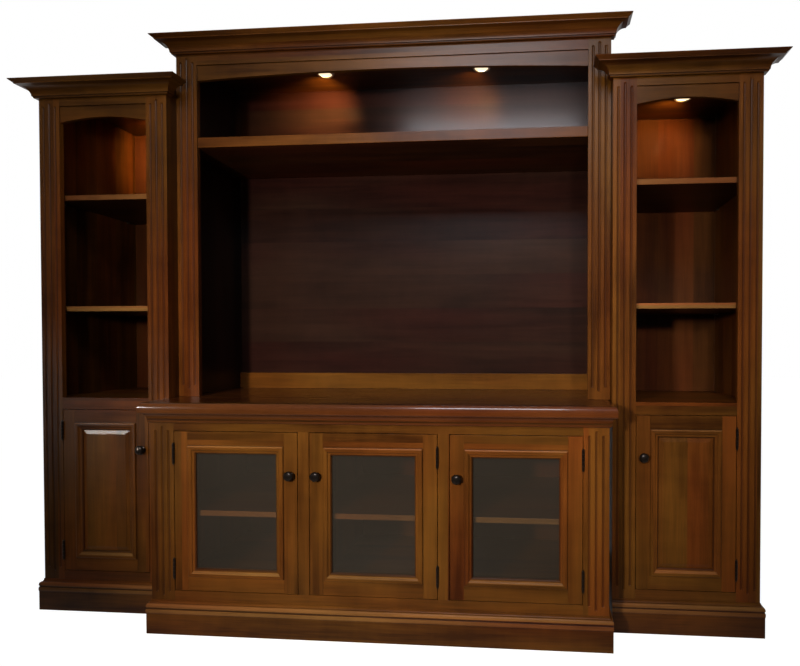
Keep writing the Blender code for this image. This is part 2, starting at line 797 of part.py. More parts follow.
def add_puck_light(name, unit, across, ceiling):
    outline = [
        (radius_share * PUCK_RADIUS, height_share * PUCK_HEIGHT)
        for radius_share, height_share in PUCK_SHARES]
    add_turned(
        name, LAMP_METAL, outline, PUCK_STEPS, unit,
        (across, PUCK_BACK_SET, ceiling - SEAT_GAP - PUCK_HEIGHT))


# The units

def build_tower(prefix, side, shelf_shares):
    """A tower: an open bay with two shelves over a raised-panel door; side is -1 at the left."""
    unit = make_empty(prefix + "place", (side * TOWER_CENTRE_X, TOWER_FRONT_Y, 0))
    carcass_top = TOWER_HEIGHT - BOARD_THICKNESS - SEAT_GAP
    bay_top = TOWER_HEIGHT - CROWN_HEIGHT - TOWER_FRIEZE_HEIGHT
    half_opening = TOWER_WIDTH / 2 - TOWER_STILE_WIDTH
    half_inside = TOWER_WIDTH / 2 - BOARD_THICKNESS
    cupboard = (-half_opening, half_opening, FLOOR_TOP, TOWER_DOOR_TOP)
    bay = (-half_opening, half_opening, DECK_TOP, bay_top)

    frame = add_face_frame(
        prefix + "face_frame", unit, TOWER_WIDTH, carcass_top, (cupboard, bay))
    for name, stile_side in (("left_flutes", -1), ("right_flutes", 1)):
        flute_stile(
            frame, name, stile_side * (TOWER_WIDTH - TOWER_STILE_WIDTH) / 2, TOWER_FLUTE_BOTTOM,
            TOWER_HEIGHT - CROWN_HEIGHT - TOWER_FLUTE_TOP_MARGIN)
    add_valance(
        prefix + "valance", unit, half_opening - SEAT_GAP, bay_top - TOWER_VALANCE_HEIGHT,
        bay_top - SEAT_GAP)

    side_names = ("outer_side", "inner_side")
    panels = add_carcass(
        prefix, unit, TOWER_WIDTH, TOWER_DEPTH, carcass_top,
        side_names if side < 0 else side_names[::-1], FLOOR_TOP - BOARD_THICKNESS)
    shelves = {
        name: DECK_TOP + share * (bay_top - DECK_TOP)
        for name, share in zip(("lower_shelf", "upper_shelf"), shelf_shares)}
    for panel, panel_side in zip(panels, (-1, 1)):
        bore_pin_holes(
            panel, panel_side * half_inside, -panel_side, TOWER_DEPTH, shelves.values())
    for name, top in shelves.items():
        add_pinned_shelf(prefix + name, unit, -half_inside, half_inside, TOWER_DEPTH, top)
    add_level_board(prefix + "floor", unit, half_inside - SEAT_GAP, TOWER_DEPTH, FLOOR_TOP)
    add_level_board(prefix + "deck", unit, half_inside - SEAT_GAP, TOWER_DEPTH, DECK_TOP)

    add_cornice(prefix + "cornice", unit, TOWER_WIDTH, TOWER_DEPTH, TOWER_HEIGHT)
    base = add_base(prefix + "base", unit, TOWER_WIDTH, TOWER_DEPTH)
    past_inner_side = sorted((
        -side * TOWER_WIDTH / 2, -side * (TOWER_WIDTH / 2 + BASE_PROJECTION + CUT_OVERRUN)))
    cut_box(
        base, "console_space", past_inner_side,
        (-BASE_PROJECTION - CUT_OVERRUN, TOWER_DEPTH + CUT_OVERRUN),
        (-CUT_OVERRUN, BASE_HEIGHT + CUT_OVERRUN))
    add_puck_light(
        prefix + "puck_light", unit, TOWER_PUCK_OFFSET, TOWER_HEIGHT - BOARD_THICKNESS)
    add_door(prefix + "door", unit, frame, cupboard, -side, False)


def build_console():
    """The console: three glass doors, each with a shelf behind it."""
    unit = make_empty("console_place", (0, CONSOLE_FRONT_Y, 0))
    carcass_top = COUNTER_HEIGHT - COUNTER_SLAB_THICKNESS - SEAT_GAP
    half_inside = CONSOLE_WIDTH / 2 - BOARD_THICKNESS
    opening_pitch = CONSOLE_OPENING + MULLION_WIDTH
    shelf_top = FLOOR_TOP + CONSOLE_SHELF_SHARE * (CONSOLE_DOOR_TOP - FLOOR_TOP)
    openings = [
        (number * opening_pitch - CONSOLE_OPENING / 2,
         number * opening_pitch + CONSOLE_OPENING / 2, FLOOR_TOP, CONSOLE_DOOR_TOP)
        for number in (-1, 0, 1)]

    frame = add_face_frame("console_face_frame", unit, CONSOLE_WIDTH, carcass_top, openings)
    for name, side in (("left_flutes", -1), ("right_flutes", 1)):
        flute_stile(
            frame, name, side * (CONSOLE_WIDTH - CONSOLE_STILE_WIDTH) / 2,
            CONSOLE_FLUTE_BOTTOM,
            COUNTER_HEIGHT - COUNTER_EDGE_HEIGHT - CONSOLE_FLUTE_TOP_MARGIN)

    sides = add_carcass(
        "console_", unit, CONSOLE_WIDTH, CONSOLE_DEPTH, carcass_top, ("left_side", "right_side"),
        FLOOR_TOP - BOARD_THICKNESS)
    add_level_board("console_floor", unit, half_inside - SEAT_GAP, CONSOLE_DEPTH, FLOOR_TOP)
    dividers = []
    for name, side in (("left", -1), ("right", 1)):
        middle = side * opening_pitch / 2
        dividers.append(add_box(
            "console_%s_divider" % name, MAPLE, unit,
            (middle - BOARD_THICKNESS / 2, middle + BOARD_THICKNESS / 2),
            (FRAME_THICKNESS + SEAT_GAP, CONSOLE_DEPTH - BACK_THICKNESS - SEAT_GAP),
            (FLOOR_TOP + SEAT_GAP, carcass_top)))

    near_divider = (opening_pitch - BOARD_THICKNESS) / 2
    far_divider = (opening_pitch + BOARD_THICKNESS) / 2
    walls = (
        ("left", (sides[0], dividers[0]), (-half_inside, -far_divider)),
        ("middle", (dividers[0], dividers[1]), (-near_divider, near_divider)),
        ("right", (dividers[1], sides[1]), (far_divider, half_inside)))
    for name, panels, ends in walls:
        for panel, face_x, inward in zip(panels, ends, (1, -1)):
            bore_pin_holes(panel, face_x, inward, CONSOLE_DEPTH, (shelf_top,))
        add_pinned_shelf("console_%s_shelf" % name, unit, *ends, CONSOLE_DEPTH, shelf_top)

    add_countertop(unit)
    add_base("console_base", unit, CONSOLE_WIDTH, CONSOLE_DEPTH)
    for name, opening, swing in zip(("left", "middle", "right"), openings, (1, -1, -1)):
        add_door("console_%s_door" % name, unit, frame, opening, swing, True)


def build_hutch():
    """The open hutch that stands on the console, with one thick fixed shelf."""
    unit = make_empty("hutch_place", (0, HUTCH_FRONT_Y, HUTCH_FOOT))
    carcass_top = HUTCH_HEIGHT - BOARD_THICKNESS - SEAT_GAP
    bay_top = HUTCH_HEIGHT - CROWN_HEIGHT - HUTCH_FRIEZE_HEIGHT
    half_opening = HUTCH_WIDTH / 2 - HUTCH_STILE_WIDTH
    half_inside = HUTCH_WIDTH / 2 - BOARD_THICKNESS
    front_of_back = HUTCH_DEPTH - BACK_THICKNESS

    frame = add_face_frame(
        "hutch_face_frame", unit, HUTCH_WIDTH, carcass_top,
        [(-half_opening, half_opening, -CUT_OVERRUN, bay_top)])
    for name, side in (("left_flutes", -1), ("right_flutes", 1)):
        flute_stile(
            frame, name, side * (HUTCH_WIDTH - HUTCH_STILE_WIDTH) / 2, HUTCH_FLUTE_BOTTOM,
            HUTCH_HEIGHT - CROWN_HEIGHT - HUTCH_FLUTE_TOP_MARGIN)
    add_valance(
        "hutch_valance", unit, half_opening - SEAT_GAP, bay_top - HUTCH_VALANCE_HEIGHT,
        bay_top - SEAT_GAP)

    add_carcass(
        "hutch_", unit, HUTCH_WIDTH, HUTCH_DEPTH, carcass_top, ("left_side", "right_side"),
        0, BACK_RAIL_HEIGHT)
    half_board = half_inside - SEAT_GAP

    shelf_top = HUTCH_HEIGHT - HUTCH_SHELF_DROP
    nose = NOSE_ROUND
    shape, centre = span_box(
        (-half_board, half_board), (nose, front_of_back - SEAT_GAP),
        (shelf_top - HUTCH_SHELF_THICKNESS, shelf_top))
    round_front_edges(shape, front_of_back - SEAT_GAP - nose)
    shelf = add_piece("hutch_shelf", shape, MAPLE, unit, centre)
    for name, side in (("left_notch", -1), ("right_notch", 1)):
        x_span = sorted((side * (half_opening - SEAT_GAP), side * HUTCH_WIDTH / 2))
        cut_box(
            shelf, name, x_span, (-CUT_OVERRUN, FRAME_THICKNESS + SEAT_GAP),
            (shelf_top - HUTCH_SHELF_THICKNESS - CUT_OVERRUN, shelf_top + CUT_OVERRUN))

    add_cornice("hutch_cornice", unit, HUTCH_WIDTH, HUTCH_DEPTH, HUTCH_HEIGHT)
    for name, side in (("left", -1), ("right", 1)):
        add_puck_light(
            "hutch_%s_puck_light" % name, unit, side * HUTCH_PUCK_SPREAD,
            HUTCH_HEIGHT - BOARD_THICKNESS)


clear_scene()
build_console()
build_hutch()
build_tower("left_tower_", -1, LEFT_TOWER_SHELF_SHARES)
build_tower("right_tower_", 1, RIGHT_TOWER_SHELF_SHARES)
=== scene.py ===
# %% [markdown]
# # An entertainment center in stained maple
#
# The piece is four cabinets that stand together: a low console with three glass doors, an
# open hutch on top of it, and a narrow tower at each side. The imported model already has
# every part at its true size. This lesson gives it the looks: crisp mouldings, fluted
# stiles, raised panels, lacquered wood, dark metal fittings and small lamps.

# %% Load the frame
import math

import bmesh
import bpy
from mathutils import Matrix, Vector


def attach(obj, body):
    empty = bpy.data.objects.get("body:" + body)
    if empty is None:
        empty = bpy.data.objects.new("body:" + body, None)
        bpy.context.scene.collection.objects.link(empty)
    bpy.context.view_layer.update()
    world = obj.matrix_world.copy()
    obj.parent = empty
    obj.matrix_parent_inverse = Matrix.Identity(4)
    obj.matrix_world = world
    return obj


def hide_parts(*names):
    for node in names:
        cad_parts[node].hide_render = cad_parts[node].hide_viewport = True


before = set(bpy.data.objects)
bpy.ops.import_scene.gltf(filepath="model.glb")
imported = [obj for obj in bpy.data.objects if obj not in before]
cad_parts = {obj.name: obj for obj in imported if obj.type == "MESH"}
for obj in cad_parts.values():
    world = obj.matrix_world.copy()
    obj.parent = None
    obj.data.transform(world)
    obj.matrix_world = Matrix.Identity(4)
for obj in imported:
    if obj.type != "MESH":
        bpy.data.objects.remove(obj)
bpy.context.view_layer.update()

# %% [markdown]
# ## Where things are
#
# All sizes are in metres, with X to the right, Y to the back and Z up. The four cabinets
# share one back plane, but their faces stand at different depths: the console is the
# deepest, then the towers, then the hutch.

# %% Planes and sizes
BACK = 0.338
CONSOLE_FACE, TOWER_FACE, HUTCH_FACE = -0.302, -0.162, -0.102
CONSOLE_HALF, HUTCH_HALF, TOWER_HALF = 0.745, 0.767, 0.2375
TOWER_INNER = 0.768
TOWER_MIDDLE = TOWER_INNER + TOWER_HALF
COUNTER_TOP, TOWER_TOP, HUTCH_TOP = 0.762, 1.870, 2.032
FRAME_THICK, BOARD, BACK_THICK = 0.020, 0.019, 0.006
TOWER_STILE, CONSOLE_STILE, HUTCH_STILE, MULLION = 0.076, 0.080, 0.076, 0.0365
FLOOR_TOP, CONSOLE_DOOR_TOP, TOWER_DOOR_TOP, DECK_TOP = 0.141, 0.668, 0.719, 0.760
GAP, DOOR_GAP = 0.0003, 0.002
CROWN_HIGH, CROWN_OUT = 0.052, 0.064
TOWER_FRIEZE, HUTCH_FRIEZE = 0.026, 0.036
DOOR_WIDE = (2 * CONSOLE_HALF - 2 * CONSOLE_STILE - 2 * MULLION) / 3
TOWER_OPENING_HALF = TOWER_HALF - TOWER_STILE
HUTCH_OPENING_HALF = HUTCH_HALF - HUTCH_STILE
TOWER_BAY_TOP = TOWER_TOP - CROWN_HIGH - TOWER_FRIEZE
HUTCH_BAY_TOP = HUTCH_TOP - CROWN_HIGH - HUTCH_FRIEZE
TOWERS = (("left_tower", -1), ("right_tower", 1))


def tower_ends(side):
    """The left and right end of the tower at one side: -1 is left and 1 is right."""
    return sorted((side * TOWER_INNER, side * (TOWER_INNER + 2 * TOWER_HALF)))


print("each console door opening is", round(DOOR_WIDE, 4), "wide")

# %% [markdown]
# ## The wood finish
#
# The real cabinets are maple under a brown stain and a satin lacquer. Maple has fine, long
# streaks, faint blotches where it takes the stain unevenly, and a slight ripple across the
# grain. A panel is glued from staves, and each stave differs a little from the next. All of
# this could be painted on each board, but one node group that reads a position whose first
# axis runs along the grain serves every board, whichever way it lies.

# %% Wood grain group
def node_maker(tree):
    """A short way to add a node with its settings and its links."""
    def add(kind, links=(), **settings):
        node = tree.nodes.new(kind)
        for name, value in settings.items():
            setattr(node, name, value)
        for socket, value in dict(links).items():
            if isinstance(value, bpy.types.NodeSocket):
                tree.links.new(value, node.inputs[socket])
            else:
                node.inputs[socket].default_value = value
        return node
    return add


LAYER_STEP, STAVE_SHIFT = 7.13, (3.0, 1.0, 1.0)
RED_CAST, RED_FROM, RED_FULL = (1.08, 0.72, 0.80, 1), 0.40, 0.64
PORE_DULLING, PORE_HIGH, STREAK_HIGH = 0.18, 0.6, 0.4


def make_grain_group():
    """Colour, roughness and height of stained wood, from a position along the grain."""
    tree = bpy.data.node_groups.new("wood_grain", "ShaderNodeTree")
    for name, kind in (
            ("Position", "NodeSocketVector"), ("Light", "NodeSocketColor"),
            ("Dark", "NodeSocketColor"), ("Contrast", "NodeSocketFloat"),
            ("Stave", "NodeSocketFloat"), ("Base Roughness", "NodeSocketFloat")):
        tree.interface.new_socket(name, in_out="INPUT", socket_type=kind)
    for name, kind in (
            ("Color", "NodeSocketColor"), ("Roughness", "NodeSocketFloat"),
            ("Height", "NodeSocketFloat")):
        tree.interface.new_socket(name, in_out="OUTPUT", socket_type=kind)
    add = node_maker(tree)
    given = add("NodeGroupInput").outputs
    out = add("NodeGroupOutput")

    def maths(operation, first, second=0.0):
        return add("ShaderNodeMath", {0: first, 1: second}, operation=operation).outputs[0]

    axes = add("ShaderNodeSeparateXYZ", {0: given["Position"]}).outputs
    row = maths("FLOOR", maths("DIVIDE", axes["Y"], given["Stave"]))
    layer = maths("FLOOR", maths("DIVIDE", axes["Z"], given["Stave"]))
    number = maths("ADD", row, maths("MULTIPLY", layer, LAYER_STEP))
    stave = add("ShaderNodeTexWhiteNoise", {"W": number}, noise_dimensions="1D")
    shift = add("ShaderNodeVectorMath", {0: stave.outputs["Color"], 1: STAVE_SHIFT},
                operation="MULTIPLY").outputs[0]
    place = add("ShaderNodeVectorMath", {0: given["Position"], 1: shift}).outputs[0]

    def noise(along, across, scale, detail, roughness, distortion=0.0):
        """A noise whose spots are drawn out along the grain, more so if along is small."""
        run = add("ShaderNodeVectorMath", {0: place, 1: (along, across, across)},
                  operation="MULTIPLY")
        return add("ShaderNodeTexNoise", {
            "Vector": run.outputs[0], "Scale": scale, "Detail": detail,
            "Roughness": roughness, "Distortion": distortion}).outputs["Fac"]

    streaks = noise(0.055, 1.0, scale=26.0, detail=6.0, roughness=0.62, distortion=0.4)
    pores = noise(0.035, 1.0, scale=210.0, detail=3.0, roughness=0.6)
    blotches = noise(0.45, 1.0, scale=4.2, detail=3.0, roughness=0.55, distortion=0.6)
    ripple = noise(1.0, 0.30, scale=30.0, detail=2.0, roughness=0.5)
    red_patches = noise(0.25, 1.0, scale=3.1, detail=2.0, roughness=0.5)

    total = 0.5
    for texture, weight in ((streaks, 1.30), (pores, 0.50), (blotches, 1.35), (ripple, 0.26),
                            (stave.outputs["Value"], 0.45)):
        spread = maths("MULTIPLY", maths("SUBTRACT", texture, 0.5), weight)
        total = maths("ADD", total, maths("MULTIPLY", spread, given["Contrast"]))
    share = add("ShaderNodeClamp", {"Value": total}).outputs[0]
    color = add("ShaderNodeMix", {0: share, 6: given["Dark"], 7: given["Light"]},
                data_type="RGBA").outputs[2]
    warmth = add("ShaderNodeMapRange", {
        "Value": red_patches, "From Min": RED_FROM, "From Max": RED_FULL})
    redder = add("ShaderNodeMix", {0: warmth.outputs[0], 6: color, 7: RED_CAST},
                 data_type="RGBA", blend_type="MULTIPLY").outputs[2]
    tree.links.new(redder, out.inputs["Color"])
    dulling = maths("MULTIPLY", maths("SUBTRACT", pores, 0.5), PORE_DULLING)
    tree.links.new(maths("ADD", given["Base Roughness"], dulling), out.inputs["Roughness"])
    height = maths("ADD", maths("MULTIPLY", pores, PORE_HIGH),
                   maths("MULTIPLY", streaks, STREAK_HIGH))
    tree.links.new(height, out.inputs["Height"])
    return tree


wood_grain = make_grain_group()
print("wood_grain has", len(wood_grain.nodes), "nodes")

# %% [markdown]
# A board's grain follows its length, so each finish is made three times, with the grain
# along X, Y and Z. A Mapping node turns the object's own coordinates to suit. A darker
# glaze is painted in the flutes and in the quirks of the mouldings, so they read as fine dark
# lines; it is partly real glaze and partly painted shade. The crests and front edges get a
# painted highlight, a lighter finish. The countertop alone has a clear coat, and the
# hutch's inside is the darkest.

# %% Wood finishes
GRAIN_TURN = ((0, 0, 0), (0, 0, -math.pi / 2), (0, math.pi / 2, 0))
GRAIN_PLACE = (0.37, 0.013, 0.021)
ALONG_X, ALONG_Y, ALONG_Z = 0, 1, 2
WOOD_IOR, COAT_ROUGHNESS, BUMP_SHARE, BUMP_HIGH = 1.22, 0.08, 0.12, 0.0006


def wood_material(name, axis, light, dark, contrast, stave, roughness, coat=0.0):
    """Stained wood with its grain along one axis and staves of a given width."""
    material = bpy.data.materials.new(name + "_" + "xyz"[axis])
    material.use_nodes = True
    tree = material.node_tree
    add = node_maker(tree)
    shader = tree.nodes["Principled BSDF"]
    place = add("ShaderNodeTexCoord").outputs["Object"]
    turned = add("ShaderNodeMapping", {
        "Vector": place, "Location": GRAIN_PLACE, "Rotation": GRAIN_TURN[axis]})
    grain = add("ShaderNodeGroup", {
        "Position": turned.outputs[0], "Light": (*light, 1), "Dark": (*dark, 1),
        "Contrast": contrast, "Stave": stave, "Base Roughness": roughness},
        node_tree=wood_grain)
    bump = add("ShaderNodeBump", {
        "Height": grain.outputs["Height"], "Strength": BUMP_SHARE, "Distance": BUMP_HIGH})
    tree.links.new(grain.outputs["Color"], shader.inputs["Base Color"])
    tree.links.new(grain.outputs["Roughness"], shader.inputs["Roughness"])
    tree.links.new(bump.outputs[0], shader.inputs["Normal"])
    shader.inputs["IOR"].default_value = WOOD_IOR
    shader.inputs["Coat Weight"].default_value = coat
    shader.inputs["Coat Roughness"].default_value = COAT_ROUGHNESS
    return material


def wood_set(name, **finish):
    """The same finish for boards along X, Y and Z."""
    return [wood_material(name, axis, **finish) for axis in (ALONG_X, ALONG_Y, ALONG_Z)]


MAPLE = wood_set("maple", light=(0.118, 0.0440, 0.0062), dark=(0.029, 0.0098, 0.0018),
                 contrast=1.1, stave=0.11, roughness=0.32)
# glaze: a darker finish for the hollows, partly real glaze and partly painted shade
GLAZE_AND_SHADE = wood_set("glaze_and_shade", light=(0.062, 0.0215, 0.0042), dark=(0.021, 0.0072, 0.0016),
                 contrast=0.9, stave=0.11, roughness=0.40)
# A painted highlight: a lighter finish for crests, bead tops and shelf fronts that face the light
HIGHLIGHT_EDGE = wood_set("painted_highlight_edge", light=(0.215, 0.1000, 0.0260), dark=(0.080, 0.0340, 0.0090),
                    contrast=0.9, stave=0.11, roughness=0.30)
COUNTER = wood_set("counter", light=(0.085, 0.0290, 0.0052), dark=(0.022, 0.0072, 0.0018),
                   contrast=0.9, stave=0.13, roughness=0.28, coat=0.35)
# shade: a darker stain on the backs of the towers and the console, and painted shade on the
# shelves away from their fronts
SHADE = wood_set("shade", light=(0.080, 0.0270, 0.0070), dark=(0.022, 0.0080, 0.0030),
                 contrast=0.9, stave=0.14, roughness=0.36)
INSIDE = wood_set("inside", light=(0.026, 0.0110, 0.0065), dark=(0.007, 0.0036, 0.0026),
                  contrast=0.9, stave=0.14, roughness=0.32)
print("wood finishes:", [finish[ALONG_X].name[:-2] for finish in (
    MAPLE, GLAZE_AND_SHADE, HIGHLIGHT_EDGE, COUNTER, SHADE, INSIDE)])

# %% [markdown]
# A moulded piece carries three of these finishes, each along X, Y and Z, as nine material
# slots. A face's slot is the axis of its grain plus the tone: PLAIN, DARK for glaze and
# painted shade in the hollows, or LIT for a painted highlight.

# %% Tones of a moulded piece
PLAIN, DARK, LIT = 0, 3, 6
TONED = MAPLE + GLAZE_AND_SHADE + HIGHLIGHT_EDGE
print("slots of a moulded piece:", len(TONED))

# %% [markdown]
# ## Metal, glass and lamp finishes
#
# Knobs and hinges are dark bronze, which is nearly black with a faint wear. Shelf pins and
# the lamps' rims are lighter metal. Each finish varies a little in tone and roughness, as
# one flat colour would look like plastic.

# %% Plain finishes
SPECKLE_SHARE, SPECKLE_SCALE, SPECKLE_DETAIL = 0.2, 300.0, 4.0


def plain_material(name, color, roughness, metallic=0.0, mottle=0.0, scale=SPECKLE_SCALE):
    """A finish whose tone and roughness vary a little over the surface."""
    material = bpy.data.materials.new(name)
    material.use_nodes = True
    tree = material.node_tree
    add = node_maker(tree)
    shader = tree.nodes["Principled BSDF"]
    place = add("ShaderNodeTexCoord").outputs["Object"]
    speckle = add("ShaderNodeTexNoise", {
        "Vector": place, "Scale": scale, "Detail": SPECKLE_DETAIL})
    darker = tuple(value * (1 - mottle) for value in color)
    blend = add("ShaderNodeMix", {
        0: speckle.outputs["Fac"], 6: (*darker, 1), 7: (*color, 1)}, data_type="RGBA")
    tree.links.new(blend.outputs[2], shader.inputs["Base Color"])
    spread = add("ShaderNodeMapRange", {
        "Value": speckle.outputs["Fac"], "To Min": roughness * (1 - SPECKLE_SHARE),
        "To Max": roughness * (1 + SPECKLE_SHARE)})
    tree.links.new(spread.outputs[0], shader.inputs["Roughness"])
    shader.inputs["Metallic"].default_value = metallic
    return material


bronze = plain_material("dark_bronze", (0.042, 0.030, 0.024), 0.30, metallic=0.85, mottle=0.5)
pin_metal = plain_material("pin_metal", (0.30, 0.27, 0.22), 0.35, metallic=0.9, mottle=0.3)
lamp_rim = plain_material("lamp_rim", (0.42, 0.36, 0.28), 0.32, metallic=0.9, mottle=0.2)
print("metals:", bronze.name, pin_metal.name, lamp_rim.name)

# %% [markdown]
# Glass in a solid pane would bend the view and darken what is behind it. A surface that is
# mostly see-through gives the look of a thin pane and stays simple.

# %% Glass and lenses
GLASS_ALPHA, LENS_COLOR, LENS_GLOW = 0.25, (0.85, 0.80, 0.70), (1.0, 0.80, 0.52, 1)
# The pane's faint grey-brown tone is a painted reflection: the haze of the mirrored room
glass = plain_material("door_glass", (0.056, 0.045, 0.034), 0.03, mottle=0.2, scale=6.0)
glass.node_tree.nodes["Principled BSDF"].inputs["Alpha"].default_value = GLASS_ALPHA


def lens_material(name, strength):
    """A frosted lens that glows."""
    material = plain_material(name, LENS_COLOR, 0.35, mottle=0.1)
    shader = material.node_tree.nodes["Principled BSDF"]
    shader.inputs["Emission Color"].default_value = LENS_GLOW
    shader.inputs["Emission Strength"].default_value = strength
    return material


bright_lens = lens_material("bright_lens", 1.3)
dim_lens = lens_material("dim_lens", 0.25)
print("glass and lenses:", glass.name, bright_lens.name, dim_lens.name)

# %% [markdown]
# ## Making a piece
#
# Each piece starts as an empty bmesh. Boards are unit cubes scaled between two ends on each
# axis. A small Bevel eases the hard edges, as sandpaper does before lacquer, and catches a
# thin line of light. It stays a modifier, so that the mesh itself is the plain board. Then
# the piece is set to ride on its body.

# %% Piece helpers
EDGE_ANGLE, EASE_STEPS = 35.0, 2
FRAME_EASE, THIN_EASE, PANEL_EASE, RAIL_EASE, SHELF_ROUND = 0.0006, 0.0005, 0.0003, 0.001, 0.002


def add_piece(name, shape, body, materials, ease, angle=EDGE_ANGLE):
    """Turn a bmesh into an object that rides on a body, with its edges eased."""
    bmesh.ops.recalc_face_normals(shape, faces=shape.faces)
    mesh = bpy.data.meshes.new(name)
    shape.to_mesh(mesh)
    shape.free()
    for material in materials:
        mesh.materials.append(material)
    mesh.shade_smooth()
    mesh.set_sharp_from_angle(angle=math.radians(angle))
    piece = bpy.data.objects.new(name, mesh)
    bpy.context.scene.collection.objects.link(piece)
    if ease:
        bevel = piece.modifiers.new("eased_edges", "BEVEL")
        bevel.width = ease
        bevel.segments = EASE_STEPS
        bevel.limit_method = "ANGLE"
        bevel.angle_limit = math.radians(angle)
        bevel.harden_normals = True
    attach(piece, body)
    return piece


def board_into(shape, x_span, y_span, z_span, grain):
    """Add a board between two ends on each axis, with its grain along an axis."""
    spans = [sorted(span) for span in (x_span, y_span, z_span)]
    size = [high - low for low, high in spans]
    centre = [(low + high) / 2 for low, high in spans]
    made = bmesh.ops.create_cube(
        shape, size=1, matrix=Matrix.LocRotScale(Vector(centre), None, Vector(size)))
    for face in {face for vert in made["verts"] for face in vert.link_faces}:
        face.material_index = grain


def only_verts(items):
    return [item for item in items if isinstance(item, bmesh.types.BMVert)]


def far_rim(grown):
    """The far points and far edges of what extrude_edge_only gave back."""
    points = only_verts(grown)
    inside = set(points)
    return points, [item for item in grown if isinstance(item, bmesh.types.BMEdge)
                    and inside.issuperset(item.verts)]


def grain_by_length(faces):
    """Let each face's grain follow its longest edge."""
    for face in faces:
        longest = max(face.edges, key=lambda edge: edge.calc_length())
        run = longest.verts[0].co - longest.verts[1].co
        face.material_index = max((ALONG_X, ALONG_Y, ALONG_Z), key=lambda axis: abs(run[axis]))


print("edges are eased by", FRAME_EASE, "on the frames")


# %% [markdown]
# ## Mouldings
#
# A moulding is one section that runs round a cabinet and is mitred at its corners. The
# section is drawn as points (outward, upward). At each station along the run it is placed
# at a corner, stretched along the outward way, and the edges between two stations are
# extruded. A curve with a bevel profile could do the same, but its corners are harder to
# keep true. Here a mitre needs nothing special: at a corner the outward way simply points
# along both axes at once.

# %% Moulding helpers
def outline_points(shares, width, height, curve_steps):
    """Turn a table of (way of going there, outward share, upward share) into points."""
    points = []
    for way, across_share, up_share in shares:
        end = (across_share * width, up_share * height)
        if way == "line":
            points.append(end)
            continue
        start = points[-1]
        for step in range(1, curve_steps + 1):
            turn = math.pi / 2 * step / curve_steps
            across, up = math.sin(turn), 1 - math.cos(turn)
            if way == "steep_first":
                across, up = 1 - math.cos(turn), math.sin(turn)
            points.append((start[0] + (end[0] - start[0]) * across,
                           start[1] + (end[1] - start[1]) * up))
    return points


def run_into(shape, section, stations, closed=False, tone=None):
    """Sweep a closed section (outward, upward) through stations (corner, way out, way up).

    tone says of a place on the section whether it is PLAIN, DARK (glaze and painted shade) or LIT
    (painted highlight).
    """
    outward = shape.verts.layers.float.get("outward") or shape.verts.layers.float.new("outward")
    upward = shape.verts.layers.float.get("upward") or shape.verts.layers.float.new("upward")
    before = set(shape.faces)
    corners = []
    for across, up in section:
        vert = shape.verts.new()
        vert[outward], vert[upward] = across, up
        corners.append(vert)
    first = loop = [
        shape.edges.new((corners[number - 1], corner)) for number, corner in enumerate(corners)]
    for number, (corner, way_out, way_up) in enumerate(stations):
        if number:
            corners, loop = far_rim(bmesh.ops.extrude_edge_only(shape, edges=loop)["geom"])
        for vert in corners:
            vert.co = (Vector(corner) + Vector(way_out) * vert[outward]
                       + Vector(way_up) * vert[upward])
    if closed:
        bmesh.ops.bridge_loops(shape, edges=first + loop)
    else:
        bmesh.ops.edgeloop_fill(shape, edges=first)
        bmesh.ops.edgeloop_fill(shape, edges=loop)
    made = [face for face in shape.faces if face not in before]
    grain_by_length(made)
    for face in made:
        across = sum(vert[outward] for vert in face.verts) / len(face.verts)
        up = sum(vert[upward] for vert in face.verts) / len(face.verts)
        if tone and len(face.verts) == 4:
            face.material_index += tone(across, up)


def glaze_and_shade_between(height, low_share, high_share):
    """A tone that is DARK, glaze and painted shade, between two shares of a section's height."""
    return lambda across, up: DARK if low_share < up / height < high_share else PLAIN


UP = (0, 0, 1)


def around(left, right, front, base, left_end, right_end):
    """Stations round a cabinet's front, with a return at a side unless its end is None."""
    stations = []
    if left_end is None:
        stations.append(((left, front, base), (0, -1, 0), UP))
    else:
        stations.append(((left, left_end, base), (-1, 0, 0), UP))
        stations.append(((left, front, base), (-1, -1, 0), UP))
    if right_end is None:
        stations.append(((right, front, base), (0, -1, 0), UP))
    else:
        stations.append(((right, front, base), (1, -1, 0), UP))
        stations.append(((right, right_end, base), (1, 0, 0), UP))
    return stations


print("tones of a moulding: plain", PLAIN, "glazed_and_shaded", DARK, "painted_highlight", LIT)

# %% [markdown]
# ## The crowns
#
# The crown is a big cove between a sloping fascia and a small bead. It turns both front
# corners and stops where the face frame ends. It is swept, as it is one section all the way,
# and a board covers the cabinet inside it. The quirk over the small bead is darkened, partly
# glaze and partly painted shade.

# %% Crowns
CROWN_SHARES = (
    ("line", 0.13, 0.00), ("flat_first", 0.19, 0.07), ("line", 0.19, 0.10),
    ("line", 0.24, 0.12), ("steep_first", 0.76, 0.72), ("line", 0.80, 0.73),
    ("line", 0.80, 0.77), ("line", 0.99, 0.95), ("line", 1.00, 1.00))
CROWN_CURVE, CROWN_QUIRK_SHARES = 14, (0.05, 0.12)
crown_section = outline_points(CROWN_SHARES, CROWN_OUT, CROWN_HIGH, CROWN_CURVE)
crown_section = [(0, 0)] + crown_section + [(0, CROWN_HIGH)]


def add_crown(name, left, right, front, top):
    shape = bmesh.new()
    end = front + FRAME_THICK
    # The quirk band gets glaze and painted shade
    run_into(shape, crown_section, around(left, right, front, top - CROWN_HIGH, end, end),
             tone=glaze_and_shade_between(CROWN_HIGH, *CROWN_QUIRK_SHARES))
    board_into(shape, (left, right), (front, BACK), (top - BOARD, top), ALONG_X)
    piece = add_piece(name + "_crown", shape, "cabinet", TONED, FRAME_EASE)
    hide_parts(name + "_cornice")


add_crown("hutch", -HUTCH_HALF, HUTCH_HALF, HUTCH_FACE, HUTCH_TOP)
for tower, side in TOWERS:
    add_crown(tower, *tower_ends(side), TOWER_FACE, TOWER_TOP)
print("crown section has", len(crown_section), "points")
